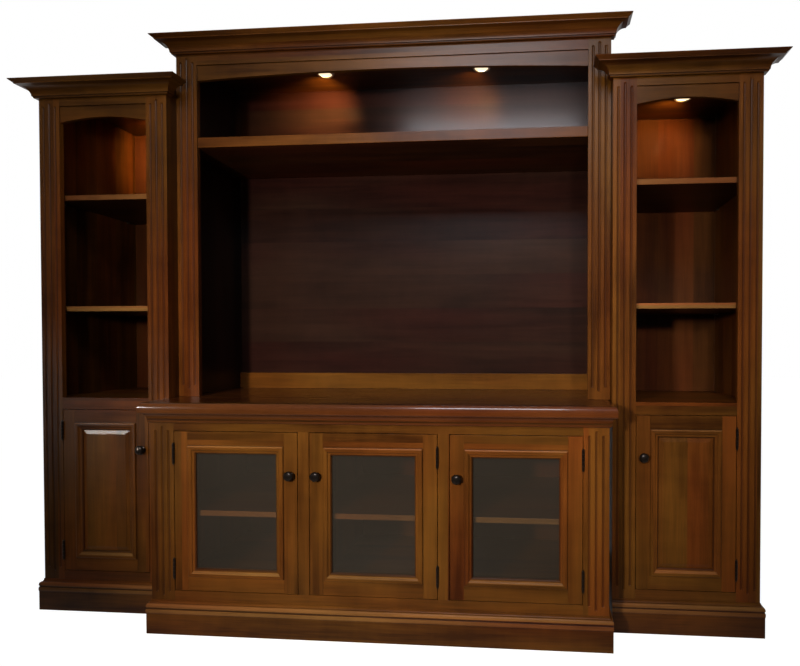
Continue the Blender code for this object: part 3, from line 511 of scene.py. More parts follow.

# %% [markdown]
# ## The bases
#
# A plinth board carries a cap moulding: a roll, a notch and a cove that dies into the face.
# On the real piece the cap is planed on the board, so board and cap are one section here.
# The towers' bases stop flush with their inner sides, where the console stands against
# them. The crests of the cap get a painted highlight, and the notch is darkened, partly glaze
# and partly painted shade.

# %% Bases
BASE_HIGH, BASE_OUT = 0.110, 0.014
BASE_SHARES = (
    ("line", 0.90, 0.00), ("line", 0.90, 0.61), ("flat_first", 1.00, 0.68),
    ("steep_first", 0.84, 0.75), ("line", 0.84, 0.78), ("flat_first", 0.96, 0.81),
    ("steep_first", 0.60, 0.90), ("line", 0.50, 0.907), ("flat_first", 0.14, 1.00))
BASE_CURVE, NOTCH_SHARES = 8, (0.74, 0.79)
CREST_SHARES = ((0.63, 0.74), (0.79, 0.90))
base_section = outline_points(BASE_SHARES, BASE_OUT, BASE_HIGH, BASE_CURVE)
base_section = [(0, 0)] + base_section + [(0, BASE_HIGH)]


def base_tone(across, up):
    """Glaze and painted shade in the cap's notch, a painted highlight on the crests under and
    over it.
    """
    share = up / BASE_HIGH
    if NOTCH_SHARES[0] < share < NOTCH_SHARES[1]:
        return DARK
    return LIT if any(low < share < high for low, high in CREST_SHARES) else PLAIN


def add_base(name, left, right, front, left_end, right_end):
    shape = bmesh.new()
    run_into(shape, base_section, around(left, right, front, 0, left_end, right_end),
             tone=base_tone)
    piece = add_piece(name + "_plinth", shape, "cabinet", TONED, THIN_EASE)
    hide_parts(name + "_base")


add_base("console", -CONSOLE_HALF, CONSOLE_HALF, CONSOLE_FACE, BACK, BACK)
for tower, side in TOWERS:
    return_ends = (BACK, None) if side < 0 else (None, BACK)
    add_base(tower, *tower_ends(side), TOWER_FACE, *return_ends)
print("base section has", len(base_section), "points")

# %% [markdown]
# ## The countertop
#
# The thick top has a moulded edge: a rounded shoulder over a flat band, a deep cove, and a
# small bed moulding under it. The edge reaches further out in front than at the sides, so
# the same section is pressed together at the sides. It is the glossiest surface of the
# piece and mirrors the hutch that stands on it.

# %% Countertop
EDGE_HIGH, SLAB, FRONT_OUT = 0.068, 0.036, 0.036
SIDE_OUT = HUTCH_HALF - CONSOLE_HALF
EDGE_SHARES = (
    ("line", 0.08, 0.00), ("flat_first", 0.27, 0.12), ("line", 0.27, 0.19),
    ("line", 0.32, 0.21), ("steep_first", 0.80, 0.46), ("line", 0.92, 0.47),
    ("line", 1.00, 0.52), ("line", 1.00, 0.68), ("steep_first", 0.60, 1.00))
EDGE_CURVE, EDGE_QUIRK_SHARES = 10, (0.12, 0.22)
edge_section = outline_points(EDGE_SHARES, FRONT_OUT, EDGE_HIGH, EDGE_CURVE)
edge_section = [(0, 0)] + edge_section + [(0, EDGE_HIGH)]
side_share = SIDE_OUT / FRONT_OUT

shape = bmesh.new()
edge_base = COUNTER_TOP - EDGE_HIGH
# The quirk over the small bed moulding is darkened, partly glaze and partly painted shade
run_into(shape, edge_section, (
    ((-CONSOLE_HALF, BACK, edge_base), (-side_share, 0, 0), UP),
    ((-CONSOLE_HALF, CONSOLE_FACE, edge_base), (-side_share, -1, 0), UP),
    ((CONSOLE_HALF, CONSOLE_FACE, edge_base), (side_share, -1, 0), UP),
    ((CONSOLE_HALF, BACK, edge_base), (side_share, 0, 0), UP)),
    tone=glaze_and_shade_between(EDGE_HIGH, *EDGE_QUIRK_SHARES))
board_into(shape, (-CONSOLE_HALF, CONSOLE_HALF), (CONSOLE_FACE, BACK),
           (COUNTER_TOP - SLAB, COUNTER_TOP), ALONG_X)
countertop = add_piece("countertop", shape, "cabinet", COUNTER + GLAZE_AND_SHADE,
                       THIN_EASE)
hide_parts("console_top")
print("countertop stands", COUNTER_TOP, "high")

# %% [markdown]
# ## Fluted face frames
#
# Each front stile has three stopped flutes, the middle one longer. A flute is a shallow
# round channel that ends in a quarter ball. It could be cut by a boolean, which leaves
# slivers at the ball. Its depth is a simple function of place, so the stile's front is a
# grid instead, whose columns gather in the flutes and whose rows gather at their ends, and
# each point is pushed back by that depth. The grid's border is then extruded to the back
# and closed.

# %% Fluted stiles
FLUTE_RADIUS, FLUTE_DEPTH, FLUTE_PITCH, FLUTE_STEP = 0.005, 0.004, 0.0215, 0.013
RIM = math.sqrt(FLUTE_RADIUS ** 2 - (FLUTE_RADIUS - FLUTE_DEPTH) ** 2)
FLUTE_TURNS, DARKENED_FROM = 10, 0.0033


def flute_depth(across, up, flutes):
    """How deep the stile is cut at a place; a flute is its middle, low and high end."""
    deepest = 0.0
    for middle, low, high in flutes:
        past = max(low + RIM - up, up - high + RIM, 0.0)
        inside = FLUTE_RADIUS ** 2 - (across - middle) ** 2 - past ** 2
        if inside > 0:
            deepest = max(deepest, math.sqrt(inside) - FLUTE_RADIUS + FLUTE_DEPTH)
    return deepest


def fluted_stile_into(shape, left, right, face, low, high, flute_low, flute_high):
    """A stile with three flutes, of which the middle one is longer by a step at each end."""
    middle = (left + right) / 2
    flutes = [
        (middle + number * FLUTE_PITCH, flute_low - (0 if number else FLUTE_STEP),
         flute_high + (0 if number else FLUTE_STEP)) for number in (-1, 0, 1)]
    turns = [math.sin(math.pi * (step / FLUTE_TURNS - 0.5)) for step in range(FLUTE_TURNS + 1)]
    columns = sorted({left, right} | {
        flute[0] + turn * RIM for flute in flutes for turn in turns})
    rows = sorted({low, high} | {
        end + way * (1 + turn) * RIM for flute in flutes[:2]
        for end, way in ((flute[1], 1), (flute[2], -1)) for turn in turns[:FLUTE_TURNS // 2 + 1]})
    before = set(shape.verts)
    bmesh.ops.create_grid(
        shape, x_segments=len(columns) - 1, y_segments=len(rows) - 1, size=0.5)
    made = [vert for vert in shape.verts if vert not in before]
    for vert in made:
        across = columns[round((vert.co.x + 0.5) * (len(columns) - 1))]
        up = rows[round((vert.co.y + 0.5) * (len(rows) - 1))]
        vert.co = (across, face + flute_depth(across, up, flutes), up)
    front = {item for vert in made for item in vert.link_faces}
    border = [edge for edge in {edge for item in front for edge in item.edges}
              if edge.is_boundary]
    behind, loop = far_rim(bmesh.ops.extrude_edge_only(shape, edges=border)["geom"])
    for vert in behind:
        vert.co.y = face + FRAME_THICK
    bmesh.ops.edgeloop_fill(shape, edges=loop)
    # Faces deep in a flute are darkened, partly glaze and partly painted shade
    # The hidden back lies in line with the middle flute, so it counts as deep and is darkened too
    for item in {item for vert in made + behind for item in vert.link_faces}:
        place = item.calc_center_median()
        deep = flute_depth(place.x, place.z, flutes) > DARKENED_FROM
        item.material_index = ALONG_Z + (DARK if deep else PLAIN)


print("a flute is", round(2 * RIM, 4), "wide and", FLUTE_DEPTH, "deep")

# %% [markdown]
# A face frame is stiles that run its full height, with rails between them. The console's
# frame also has two plain uprights between its doors. The boards are joined flush on the
# real frame, so they meet without a step here, and only the turn of the grain shows a joint.

# %% Face frames
def add_face_frame(name, centre, half, stile, face, foot, top, rails, mullions, flutes):
    shape = bmesh.new()
    inner = half - stile
    for side in (-1, 1):
        ends = sorted((centre + side * inner, centre + side * half))
        fluted_stile_into(shape, *ends, face, foot, top, *flutes)
    depth = (face, face + FRAME_THICK)
    for low, high in rails:
        board_into(shape, (centre - inner, centre + inner), depth, (low, high), ALONG_X)
    for left, right, low, high in mullions:
        board_into(shape, (left, right), depth, (low, high), ALONG_Z)
    piece = add_piece(
        name + "_frame_front", shape, "cabinet", TONED, FRAME_EASE)
    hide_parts(name + "_face_frame")


TOWER_FLUTE_LOW, CONSOLE_FLUTE_LOW, HUTCH_FLUTE_RISE = 0.150, 0.135, 0.040
TOWER_FLUTE_DROP, FLUTE_DROP = 0.026, 0.024
tower_frame_top, hutch_frame_top = TOWER_TOP - BOARD - GAP, HUTCH_TOP - BOARD - GAP
for tower, side in TOWERS:
    add_face_frame(
        tower, side * TOWER_MIDDLE, TOWER_HALF, TOWER_STILE, TOWER_FACE, 0, tower_frame_top,
        ((0, FLOOR_TOP), (TOWER_DOOR_TOP, DECK_TOP), (TOWER_BAY_TOP, tower_frame_top)), (),
        (TOWER_FLUTE_LOW, TOWER_TOP - CROWN_HIGH - TOWER_FLUTE_DROP))

pitch = DOOR_WIDE + MULLION
console_frame_top = COUNTER_TOP - SLAB - GAP
add_face_frame(
    "console", 0, CONSOLE_HALF, CONSOLE_STILE, CONSOLE_FACE, 0, console_frame_top,
    ((0, FLOOR_TOP), (CONSOLE_DOOR_TOP, console_frame_top)),
    [(side * pitch / 2 - MULLION / 2, side * pitch / 2 + MULLION / 2, FLOOR_TOP,
      CONSOLE_DOOR_TOP) for side in (-1, 1)],
    (CONSOLE_FLUTE_LOW, COUNTER_TOP - EDGE_HIGH - FLUTE_DROP))

hutch_foot = COUNTER_TOP + GAP
add_face_frame(
    "hutch", 0, HUTCH_HALF, HUTCH_STILE, HUTCH_FACE, hutch_foot, hutch_frame_top,
    ((HUTCH_BAY_TOP, hutch_frame_top),), (),
    (hutch_foot + HUTCH_FLUTE_RISE, HUTCH_TOP - CROWN_HIGH - FLUTE_DROP))
print("face frames:", [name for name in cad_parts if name.endswith("_face_frame")])

# %% [markdown]
# ## Arched valances
#
# Under each frieze a valance board is set back a little, so a thin dark line shows above
# it. Its lower edge is a flat arch, sawn on the real board. A grid of upright strips is
# easier to bend than a face with many sides: its lower points are lifted on the arc, and it
# is then extruded to its thickness.

# %% Valances
VALANCE_RISE, VALANCE_THICK, VALANCE_SET, VALANCE_STRIPS = 0.018, 0.016, 0.005, 64
HUTCH_VALANCE, TOWER_VALANCE = 0.054, 0.058


def add_valance(name, centre, half, face, top, height):
    shape = bmesh.new()
    bmesh.ops.create_grid(shape, x_segments=VALANCE_STRIPS, y_segments=1, size=0.5)
    radius = (half ** 2 + VALANCE_RISE ** 2) / (2 * VALANCE_RISE)
    for vert in shape.verts:
        across = 2 * vert.co.x * half
        arch = math.sqrt(radius ** 2 - across ** 2) - radius + VALANCE_RISE
        up = top - GAP if vert.co.y > 0 else top - height + arch
        vert.co = (centre + across, face + VALANCE_SET, up)
    grown = bmesh.ops.extrude_face_region(shape, geom=list(shape.faces))["geom"]
    bmesh.ops.translate(shape, verts=only_verts(grown), vec=(0, VALANCE_THICK, 0))
    piece = add_piece(
        name + "_arched_valance", shape, "cabinet", MAPLE, FRAME_EASE)
    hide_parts(name + "_valance")


add_valance(
    "hutch", 0, HUTCH_OPENING_HALF - GAP, HUTCH_FACE, HUTCH_BAY_TOP, HUTCH_VALANCE)
for tower, side in TOWERS:
    add_valance(tower, side * TOWER_MIDDLE, TOWER_OPENING_HALF - GAP, TOWER_FACE,
                TOWER_BAY_TOP, TOWER_VALANCE)
print("valances rise", VALANCE_RISE, "at the middle")

# %% [markdown]
# ## Doors
#
# Two stiles run a door's full height, with a rail between them at the top and the bottom. A
# bead is mitred round the opening: it stands proud, then rolls down to the glass or the
# panel, which sits in a groove. The bead's section is swept round the four corners, as the
# crown is, with the way out pointing to the door's middle. Where the bead looks up it gets a
# painted highlight, a light line over the lower rail. The corners outside the bead and next
# to the glass are darkened, partly glaze and partly painted shade.

# %% Door frames
DOOR_THICK, DOOR_FLAT, BEAD_WIDE, BEAD_RISE = 0.020, 0.046, 0.026, 0.006
GROOVE_DEEP, GROOVE_FRONT, QUIRK = 0.010, 0.007, 0.0014
GLASS_THICK, PANEL_THICK = 0.004, 0.006
BEAD_CURVE, GLASS_CORNER_SHARE, LOOKS_UP = 8, 0.87, 0.15
BEAD_SHARES = (
    ("line", 0.00, 0.50), ("steep_first", 0.20, 1.00), ("line", 0.38, 1.00),
    ("flat_first", 0.58, 0.55), ("steep_first", 0.86, 0.10), ("line", 0.90, -0.10),
    ("line", 1.00, -0.40))
SIGHT = DOOR_FLAT + BEAD_WIDE


def bead_section(filling):
    """The bead (inward, forward), with a groove for a filling of a given thickness."""
    bead = outline_points(BEAD_SHARES, BEAD_WIDE, BEAD_RISE, BEAD_CURVE)
    deep = -GROOVE_FRONT - filling - 2 * GAP
    return ([(DOOR_FLAT - QUIRK, -DOOR_THICK), (DOOR_FLAT - QUIRK, 0), (DOOR_FLAT, 0)]
            + [(DOOR_FLAT + inward, forward) for inward, forward in bead]
            + [(SIGHT, -GROOVE_FRONT), (SIGHT - GROOVE_DEEP, -GROOVE_FRONT),
               (SIGHT - GROOVE_DEEP, deep), (SIGHT, deep), (SIGHT, -DOOR_THICK)])


def bead_tone(across, up):
    """Glaze and painted shade in the corner outside the bead and in the one next to the glass."""
    share = (across - DOOR_FLAT) / BEAD_WIDE
    return DARK if share < 0 or share > GLASS_CORNER_SHARE else PLAIN


def add_door_frame(name, left, right, bottom, top, face, filling):
    left, right, bottom, top = (
        left + DOOR_GAP, right - DOOR_GAP, bottom + DOOR_GAP, top - DOOR_GAP)
    shape = bmesh.new()
    reach = DOOR_FLAT - QUIRK
    depth = (face, face + DOOR_THICK)
    board_into(shape, (left, left + reach), depth, (bottom, top), ALONG_Z)
    board_into(shape, (right - reach, right), depth, (bottom, top), ALONG_Z)
    board_into(shape, (left + reach, right - reach), depth, (bottom, bottom + reach), ALONG_X)
    board_into(shape, (left + reach, right - reach), depth, (top - reach, top), ALONG_X)
    forward = (0, -1, 0)
    run_into(shape, bead_section(filling), (
        ((left, face, bottom), (1, 0, 1), forward), ((right, face, bottom), (-1, 0, 1), forward),
        ((right, face, top), (-1, 0, -1), forward), ((left, face, top), (1, 0, -1), forward)),
        closed=True, tone=bead_tone)
    bmesh.ops.recalc_face_normals(shape, faces=shape.faces)
    # Faces that look up and forward get a painted highlight, unless they are already darkened
    for item in shape.faces:
        painted_highlight = item.normal.z > LOOKS_UP and item.normal.y < -LOOKS_UP
        if painted_highlight and item.material_index < DARK:
            item.material_index += LIT
    piece = add_piece(name + "_sticks", shape, name, TONED, FRAME_EASE)
    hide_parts(name + "_frame")


# A door: name, left, right, top, face, and 1 if it hangs at its left edge or -1 at its right
GLASS_DOORS = [
    ("console_" + word + "_door", number * pitch - DOOR_WIDE / 2,
     number * pitch + DOOR_WIDE / 2, CONSOLE_DOOR_TOP, CONSOLE_FACE, swing)
    for word, number, swing in (("left", -1, 1), ("middle", 0, -1), ("right", 1, -1))]
PANEL_DOORS = [
    (tower + "_door", side * TOWER_MIDDLE - TOWER_OPENING_HALF,
     side * TOWER_MIDDLE + TOWER_OPENING_HALF, TOWER_DOOR_TOP, TOWER_FACE, -side)
    for tower, side in TOWERS]
DOORS = GLASS_DOORS + PANEL_DOORS
for doors, filling in ((GLASS_DOORS, GLASS_THICK), (PANEL_DOORS, PANEL_THICK)):
    for name, left, right, top, face, swing in doors:
        add_door_frame(name, left, right, FLOOR_TOP, top, face, filling)
print("doors:", [door[0] for door in DOORS])

# %% [markdown]
# The towers' doors hold a raised panel: a tongue in the groove, a sloping bevel all round,
# and a flat field that stands proud by a small step. On the real panel a cutter runs round
# the board. Here two insets from its front face make the tongue and the bevel, and the
# field is then lifted by the step, whose faces are darkened, partly glaze and partly painted
# shade.

# %% Raised panels
PANEL_PLAY, PANEL_BEVEL, PANEL_RISE, PANEL_STEP = 0.0015, 0.024, 0.0046, 0.0009
PANEL_ANGLE = 7.0


def add_raised_panel(name, left, right, bottom, top, face):
    hidden = DOOR_GAP + SIGHT - GROOVE_DEEP + PANEL_PLAY
    shape = bmesh.new()
    board_into(
        shape, (left + hidden, right - hidden),
        (face + GROOVE_FRONT + GAP, face + GROOVE_FRONT + GAP + PANEL_THICK),
        (bottom + hidden, top - hidden), ALONG_Z)
    field = min(shape.faces, key=lambda item: item.calc_center_median().y)
    for reach, rise in ((GROOVE_DEEP - PANEL_PLAY, 0.0), (PANEL_BEVEL, PANEL_RISE)):
        bmesh.ops.inset_region(shape, faces=[field], thickness=reach, depth=rise)
    grown = bmesh.ops.extrude_face_region(shape, geom=[field])["geom"]
    bmesh.ops.translate(shape, verts=only_verts(grown), vec=(0, -PANEL_STEP, 0))
    bmesh.ops.delete(shape, geom=[field], context="FACES_ONLY")
    for item in shape.faces:
        depths = [vert.co.y for vert in item.verts]
        # The step's faces are darkened: glaze and painted shade
        step = max(depths) - min(depths) < 1.01 * PANEL_STEP and abs(item.normal.y) < 0.5
        item.material_index = ALONG_Z + (DARK if step else PLAIN)
    piece = add_piece(name + "_raised_panel", shape, name, TONED, PANEL_EASE,
                      PANEL_ANGLE)
    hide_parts(name + "_panel")


for name, left, right, top, face, swing in PANEL_DOORS:
    add_raised_panel(name, left, right, FLOOR_TOP, top, face)
print("raised panels:", len(PANEL_DOORS))

# %% [markdown]
# ## Knobs
#
# Each knob is turned on a lathe, a mushroom head on a waisted stem. The same is done here:
# one outline is spun round its axis, which keeps the head truly round.

# %% Knobs
KNOB_RADIUS, KNOB_LONG, KNOB_DROP = 0.016, 0.027, 0.140
KNOB_SHARES = (
    (0.00, 1.000), (0.20, 0.995), (0.42, 0.970), (0.62, 0.920), (0.80, 0.850), (0.93, 0.760),
    (1.00, 0.650), (0.99, 0.560), (0.90, 0.480), (0.72, 0.420), (0.52, 0.380), (0.42, 0.320),
    (0.39, 0.250), (0.44, 0.180), (0.56, 0.120), (0.66, 0.080), (0.67, 0.000), (0.00, 0.000))


TURN_STEPS, MERGE_REACH, KNOB_ANGLE = 40, 0.000001, 50


def turned_into(shape, outline, centre, axis):
    """Spin an outline of (radius, reach along the axis) round an axis through a centre."""
    along = Vector(axis)
    across = along.orthogonal().normalized()
    rims = [shape.verts.new(Vector(centre) + across * radius + along * reach)
            for radius, reach in outline]
    edges = [shape.edges.new(pair) for pair in zip(rims, rims[1:])]
    bmesh.ops.spin(shape, geom=rims + edges, cent=centre, axis=axis,
                   angle=2 * math.pi, steps=TURN_STEPS, use_merge=True)
    bmesh.ops.remove_doubles(shape, verts=shape.verts, dist=MERGE_REACH)


for name, left, right, top, face, swing in DOORS:
    free_edge = right - DOOR_GAP if swing > 0 else left + DOOR_GAP
    place = (free_edge - swing * DOOR_FLAT / 2, face - GAP, top - KNOB_DROP)
    shape = bmesh.new()
    turned_into(shape, [(share * KNOB_RADIUS, reach * KNOB_LONG) for share, reach in KNOB_SHARES],
                place, (0, -1, 0))
    knob = add_piece(
        name + "_turned_knob", shape, name, [bronze], 0, KNOB_ANGLE)
    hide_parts(name + "_knob")
print("knobs are", 2 * KNOB_RADIUS, "across")

# %% [markdown]
# ## Hinges
#
# Each butt hinge has a leaf in the gap at either side and knuckles that take turns round one
# pin with small ball tips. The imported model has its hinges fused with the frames, so each
# half is made here as a metal piece of its own that covers it. The cabinet carries one half
# and the door the other, so they part as the door opens.

# %% Hinges
HINGE_LONG, HINGE_INSET, HINGE_PROUD, LEAF_DEEP = 0.065, 0.075, 0.0048, 0.014
LEAF_NEAR, LEAF_FAR = 0.0003, 0.0012
KNUCKLES, KNUCKLE_RADIUS, KNUCKLE_GAP, KNUCKLE_EASE = 5, 0.004, 0.0003, 0.0004
TIP_RADIUS, TIP_HIGH, TIP_STEPS = 0.0026, 0.0020, 8


def hinge_half_into(shape, axis_x, face, middle, side, first):
    """One leaf with every second knuckle; side is the way from the axis to its leaf."""
    leaf_x = (axis_x + side * LEAF_NEAR, axis_x + side * LEAF_FAR)
    board_into(shape, leaf_x, (face - HINGE_PROUD + KNUCKLE_RADIUS, face + LEAF_DEEP),
               (middle - HINGE_LONG / 2, middle + HINGE_LONG / 2), 0)
    step = HINGE_LONG / KNUCKLES
    for number in range(first, KNUCKLES, 2):
        low = number * step + KNUCKLE_GAP / 2
        high = (number + 1) * step - KNUCKLE_GAP / 2
        eased = KNUCKLE_RADIUS - KNUCKLE_EASE
        turned_into(shape, (
            (0, low), (eased, low), (KNUCKLE_RADIUS, low + KNUCKLE_EASE),
            (KNUCKLE_RADIUS, high - KNUCKLE_EASE), (eased, high), (0, high)),
            (axis_x, face - HINGE_PROUD, middle - HINGE_LONG / 2), (0, 0, 1))


def pin_tips_into(shape, axis_x, face, middle):
    """The ball tips of the pin, over and under the knuckles."""
    turns = [math.pi * step / TIP_STEPS for step in range(TIP_STEPS + 1)]
    tip = [(TIP_RADIUS * math.sin(turn), TIP_HIGH * (1 - math.cos(turn))) for turn in turns]
    for way in (-1, 1):
        turned_into(shape, tip, (axis_x, face - HINGE_PROUD, middle + way * HINGE_LONG / 2),
                    (0, 0, way))


for name, left, right, top, face, swing in DOORS:
    axis_x = (left if swing > 0 else right) + swing * DOOR_GAP / 2
    fixed, moving = bmesh.new(), bmesh.new()
    for middle in (FLOOR_TOP + HINGE_INSET, top - HINGE_INSET):
        hinge_half_into(fixed, axis_x, face, middle, -swing, 0)
        pin_tips_into(fixed, axis_x, face, middle)
        hinge_half_into(moving, axis_x, face, middle, swing, 1)
    add_piece(name + "_fixed_hinge_leaves", fixed, "cabinet", [bronze], 0)
    add_piece(name + "_moving_hinge_leaves", moving, name, [bronze], 0)
print("hinges:", 2 * len(DOORS))

# %% [markdown]
# ## Shelves
#
# Loose shelves rest on four metal pins each. They are plain boards with their front edges
# rounded, so a box and a Bevel are enough, and each pin is turned. The front edge gets a
# painted highlight, and the rest a painted shade, as dark as the inside.

# %% Loose shelves
PIN_REACH, PIN_DEEP, PIN_DROP, PIN_INSET = 0.010, 0.008, 0.0027, 0.055
PIN_RADIUS, PIN_COLLAR, PIN_TIP, COLLAR_THICK = 0.0025, 0.0040, 0.0017, 0.0008
SHELF_SET_BACK, SHELF_GAP = 0.030, 0.001
PIN_OUTLINE = (
    (0, 0), (PIN_RADIUS, 0), (PIN_RADIUS, PIN_DEEP), (PIN_COLLAR, PIN_DEEP),
    (PIN_COLLAR, PIN_DEEP + COLLAR_THICK), (PIN_RADIUS, PIN_DEEP + COLLAR_THICK),
    (PIN_RADIUS, PIN_DEEP + PIN_REACH - COLLAR_THICK), (PIN_TIP, PIN_DEEP + PIN_REACH),
    (0, PIN_DEEP + PIN_REACH))


def painted_shade_but_for_front(shape):
    """The front faces keep the lighter edge finish; the others get a painted shade in the
    inside's tone.
    """
    bmesh.ops.recalc_face_normals(shape, faces=shape.faces)
    for item in shape.faces:
        item.material_index = 0 if item.normal.y < -0.5 else 1


def add_pinned_shelf(node, left, right, face, top):
    """A shelf board and its four pins, between two uprights behind a face."""
    front, back = face + SHELF_SET_BACK, BACK - BACK_THICK - SHELF_GAP
    shape = bmesh.new()
    board_into(shape, (left + SHELF_GAP, right - SHELF_GAP), (front, back),
               (top - BOARD, top), ALONG_X)
    painted_shade_but_for_front(shape)
    piece = add_piece(node + "_board", shape, "cabinet",
                      (HIGHLIGHT_EDGE[ALONG_X], SHADE[ALONG_X]), SHELF_ROUND)
    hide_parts(node)
    pins = bmesh.new()
    for end, outward in ((left, -1), (right, 1)):
        for across in (face + SHELF_SET_BACK + PIN_INSET, BACK - BACK_THICK - PIN_INSET):
            place = (end + outward * PIN_DEEP, across, top - BOARD - PIN_DROP)
            turned_into(pins, PIN_OUTLINE, place, (-outward, 0, 0))
    add_piece(node + "_pins", pins, "cabinet", [pin_metal], 0)


UPPER_SHELF_TOPS = {"left_tower": 1.485, "right_tower": 1.497}
LOWER_SHELF_TOP, CONSOLE_SHELF_TOP = 1.087, 0.400
tower_in = TOWER_HALF - BOARD
for tower, side in TOWERS:
    for word, top in (("upper", UPPER_SHELF_TOPS[tower]), ("lower", LOWER_SHELF_TOP)):
        add_pinned_shelf("%s_%s_shelf" % (tower, word), side * TOWER_MIDDLE - tower_in,
                         side * TOWER_MIDDLE + tower_in, TOWER_FACE, top)
wall_in, near, far = CONSOLE_HALF - BOARD, (pitch - BOARD) / 2, (pitch + BOARD) / 2
for word, left, right in (("left", -wall_in, -far), ("middle", -near, near),
                          ("right", far, wall_in)):
    add_pinned_shelf("console_%s_shelf" % word, left, right, CONSOLE_FACE, CONSOLE_SHELF_TOP)
print("loose shelves in the towers:", sorted(UPPER_SHELF_TOPS.values()), LOWER_SHELF_TOP)

# %% [markdown]
# The hutch's fixed shelf is almost twice as thick and fits round the stiles: behind them it
# is as wide as the hutch, and in front as wide as the opening. So its front face is extruded
# twice, once on the spot, where it is narrowed, and once forward.

# %% The hutch's thick shelf
SHELF_TOP, SHELF_THICK, NOSE_SET = 1.688, 0.036, 0.002
shape = bmesh.new()
board_into(shape, (-HUTCH_HALF + BOARD + GAP, HUTCH_HALF - BOARD - GAP),
           (HUTCH_FACE + FRAME_THICK + GAP, BACK - BACK_THICK - GAP),
           (SHELF_TOP - SHELF_THICK, SHELF_TOP), ALONG_X)
front = min(shape.faces, key=lambda item: item.calc_center_median().y)
grown = bmesh.ops.extrude_face_region(shape, geom=[front])["geom"]
bmesh.ops.delete(shape, geom=[front], context="FACES_ONLY")
for vert in only_verts(grown):
    vert.co.x = math.copysign(HUTCH_OPENING_HALF - GAP, vert.co.x)
nose = [item for item in grown if isinstance(item, bmesh.types.BMFace)]
grown = bmesh.ops.extrude_face_region(shape, geom=nose)["geom"]
bmesh.ops.delete(shape, geom=nose, context="FACES_ONLY")
bmesh.ops.translate(shape, verts=only_verts(grown), vec=(0, NOSE_SET - FRAME_THICK, 0))
# The front stays plain maple; the top, underside and back get a painted shade
painted_shade_but_for_front(shape)
hutch_shelf = add_piece("hutch_thick_shelf", shape, "cabinet",
                        (MAPLE[ALONG_X], SHADE[ALONG_X]), SHELF_ROUND)
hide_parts("hutch_shelf")
print("hutch shelf is", SHELF_THICK, "thick")

# %% [markdown]
# ## The hutch's back and sides
#
# Inside, the hutch is stained nearly black, so that a television stands out against it. A
# lighter rail runs along the foot of the back. These are plain boards, made anew only
# because a side is maple outside and dark inside, and one board can have both finishes if
# its inner face has a slot of its own.

# %% Hutch back and sides
BACK_RAIL_HIGH, BACK_RAIL_THICK = 0.065, 0.016
shape = bmesh.new()
back_half = HUTCH_HALF - BOARD - GAP
board_into(shape, (-back_half, back_half), (BACK - BACK_THICK, BACK),
           (hutch_foot, hutch_frame_top), ALONG_X)
hutch_back = add_piece("hutch_back_panel", shape, "cabinet", INSIDE, THIN_EASE)
shape = bmesh.new()
board_into(shape, (-back_half, back_half),
           (BACK - BACK_THICK - BACK_RAIL_THICK, BACK - BACK_THICK),
           (hutch_foot, hutch_foot + BACK_RAIL_HIGH), ALONG_X)
back_rail = add_piece("hutch_back_rail", shape, "cabinet", MAPLE, RAIL_EASE)
for piece in (hutch_back, back_rail):
    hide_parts("hutch_back")

for word, side in (("left", -1), ("right", 1)):
    shape = bmesh.new()
    board_into(shape, (side * (HUTCH_HALF - BOARD), side * HUTCH_HALF),
               (HUTCH_FACE + FRAME_THICK + GAP, BACK), (hutch_foot, hutch_frame_top), ALONG_Z)
    bmesh.ops.recalc_face_normals(shape, faces=shape.faces)
    for item in shape.faces:
        if item.normal.x * side < -0.5:
            item.material_index = len(MAPLE)
    piece = add_piece("hutch_%s_wall" % word, shape, "cabinet",
                      MAPLE + [INSIDE[ALONG_Z]], THIN_EASE)
    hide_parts("hutch_%s_side" % word)
print("hutch back and walls are in")

# %% [markdown]
# ## Puck lights
#
# A small round lamp is fixed under each tower's top, and two under the hutch's. Each has a
# metal rim round a frosted lens that is set back a little. Rim and lens are turned in one
# piece, as nothing parts them, and the lens's faces get the glowing finish.

# %% Puck lights
PUCK_RADIUS, PUCK_HIGH = 0.034, 0.017
PUCK_SHARES = (
    (0.00, 1.00), (0.98, 1.00), (1.00, 0.96), (1.00, 0.35), (0.985, 0.20), (0.94, 0.08),
    (0.89, 0.01), (0.86, 0.00), (0.78, 0.00), (0.755, 0.04), (0.74, 0.16), (0.60, 0.13),
    (0.40, 0.08), (0.20, 0.055), (0.00, 0.05))
LENS_RADIUS_SHARE, LENS_HIGH_SHARE, PUCK_ANGLE = 0.735, 0.2, 40
PUCK_BACK, TOWER_PUCK_X, HUTCH_PUCK_X = 0.240, 0.037, 0.305


def add_puck(node, across, face, top, lens):
    shape = bmesh.new()
    base = top - BOARD - GAP - PUCK_HIGH
    turned_into(shape, [(share * PUCK_RADIUS, up * PUCK_HIGH) for share, up in PUCK_SHARES],
                (across, face + PUCK_BACK, base), (0, 0, 1))
    for item in shape.faces:
        middle = item.calc_center_median()
        reach = math.hypot(middle.x - across, middle.y - face - PUCK_BACK)
        low = middle.z < base + LENS_HIGH_SHARE * PUCK_HIGH
        if low and reach < LENS_RADIUS_SHARE * PUCK_RADIUS:
            item.material_index = 1
    piece = add_piece(
        node + "_lamp", shape, "cabinet", [lamp_rim, lens], 0, PUCK_ANGLE)
    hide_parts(node)


for word, side in (("left", -1), ("right", 1)):
    add_puck("hutch_%s_puck_light" % word, side * HUTCH_PUCK_X, HUTCH_FACE, HUTCH_TOP,
             bright_lens)
for (tower, side), lens in zip(TOWERS, (dim_lens, bright_lens)):
    add_puck(tower + "_puck_light", TOWER_PUCK_X + side * TOWER_MIDDLE, TOWER_FACE, TOWER_TOP,
             lens)
print("puck lights are", 2 * PUCK_RADIUS, "across")

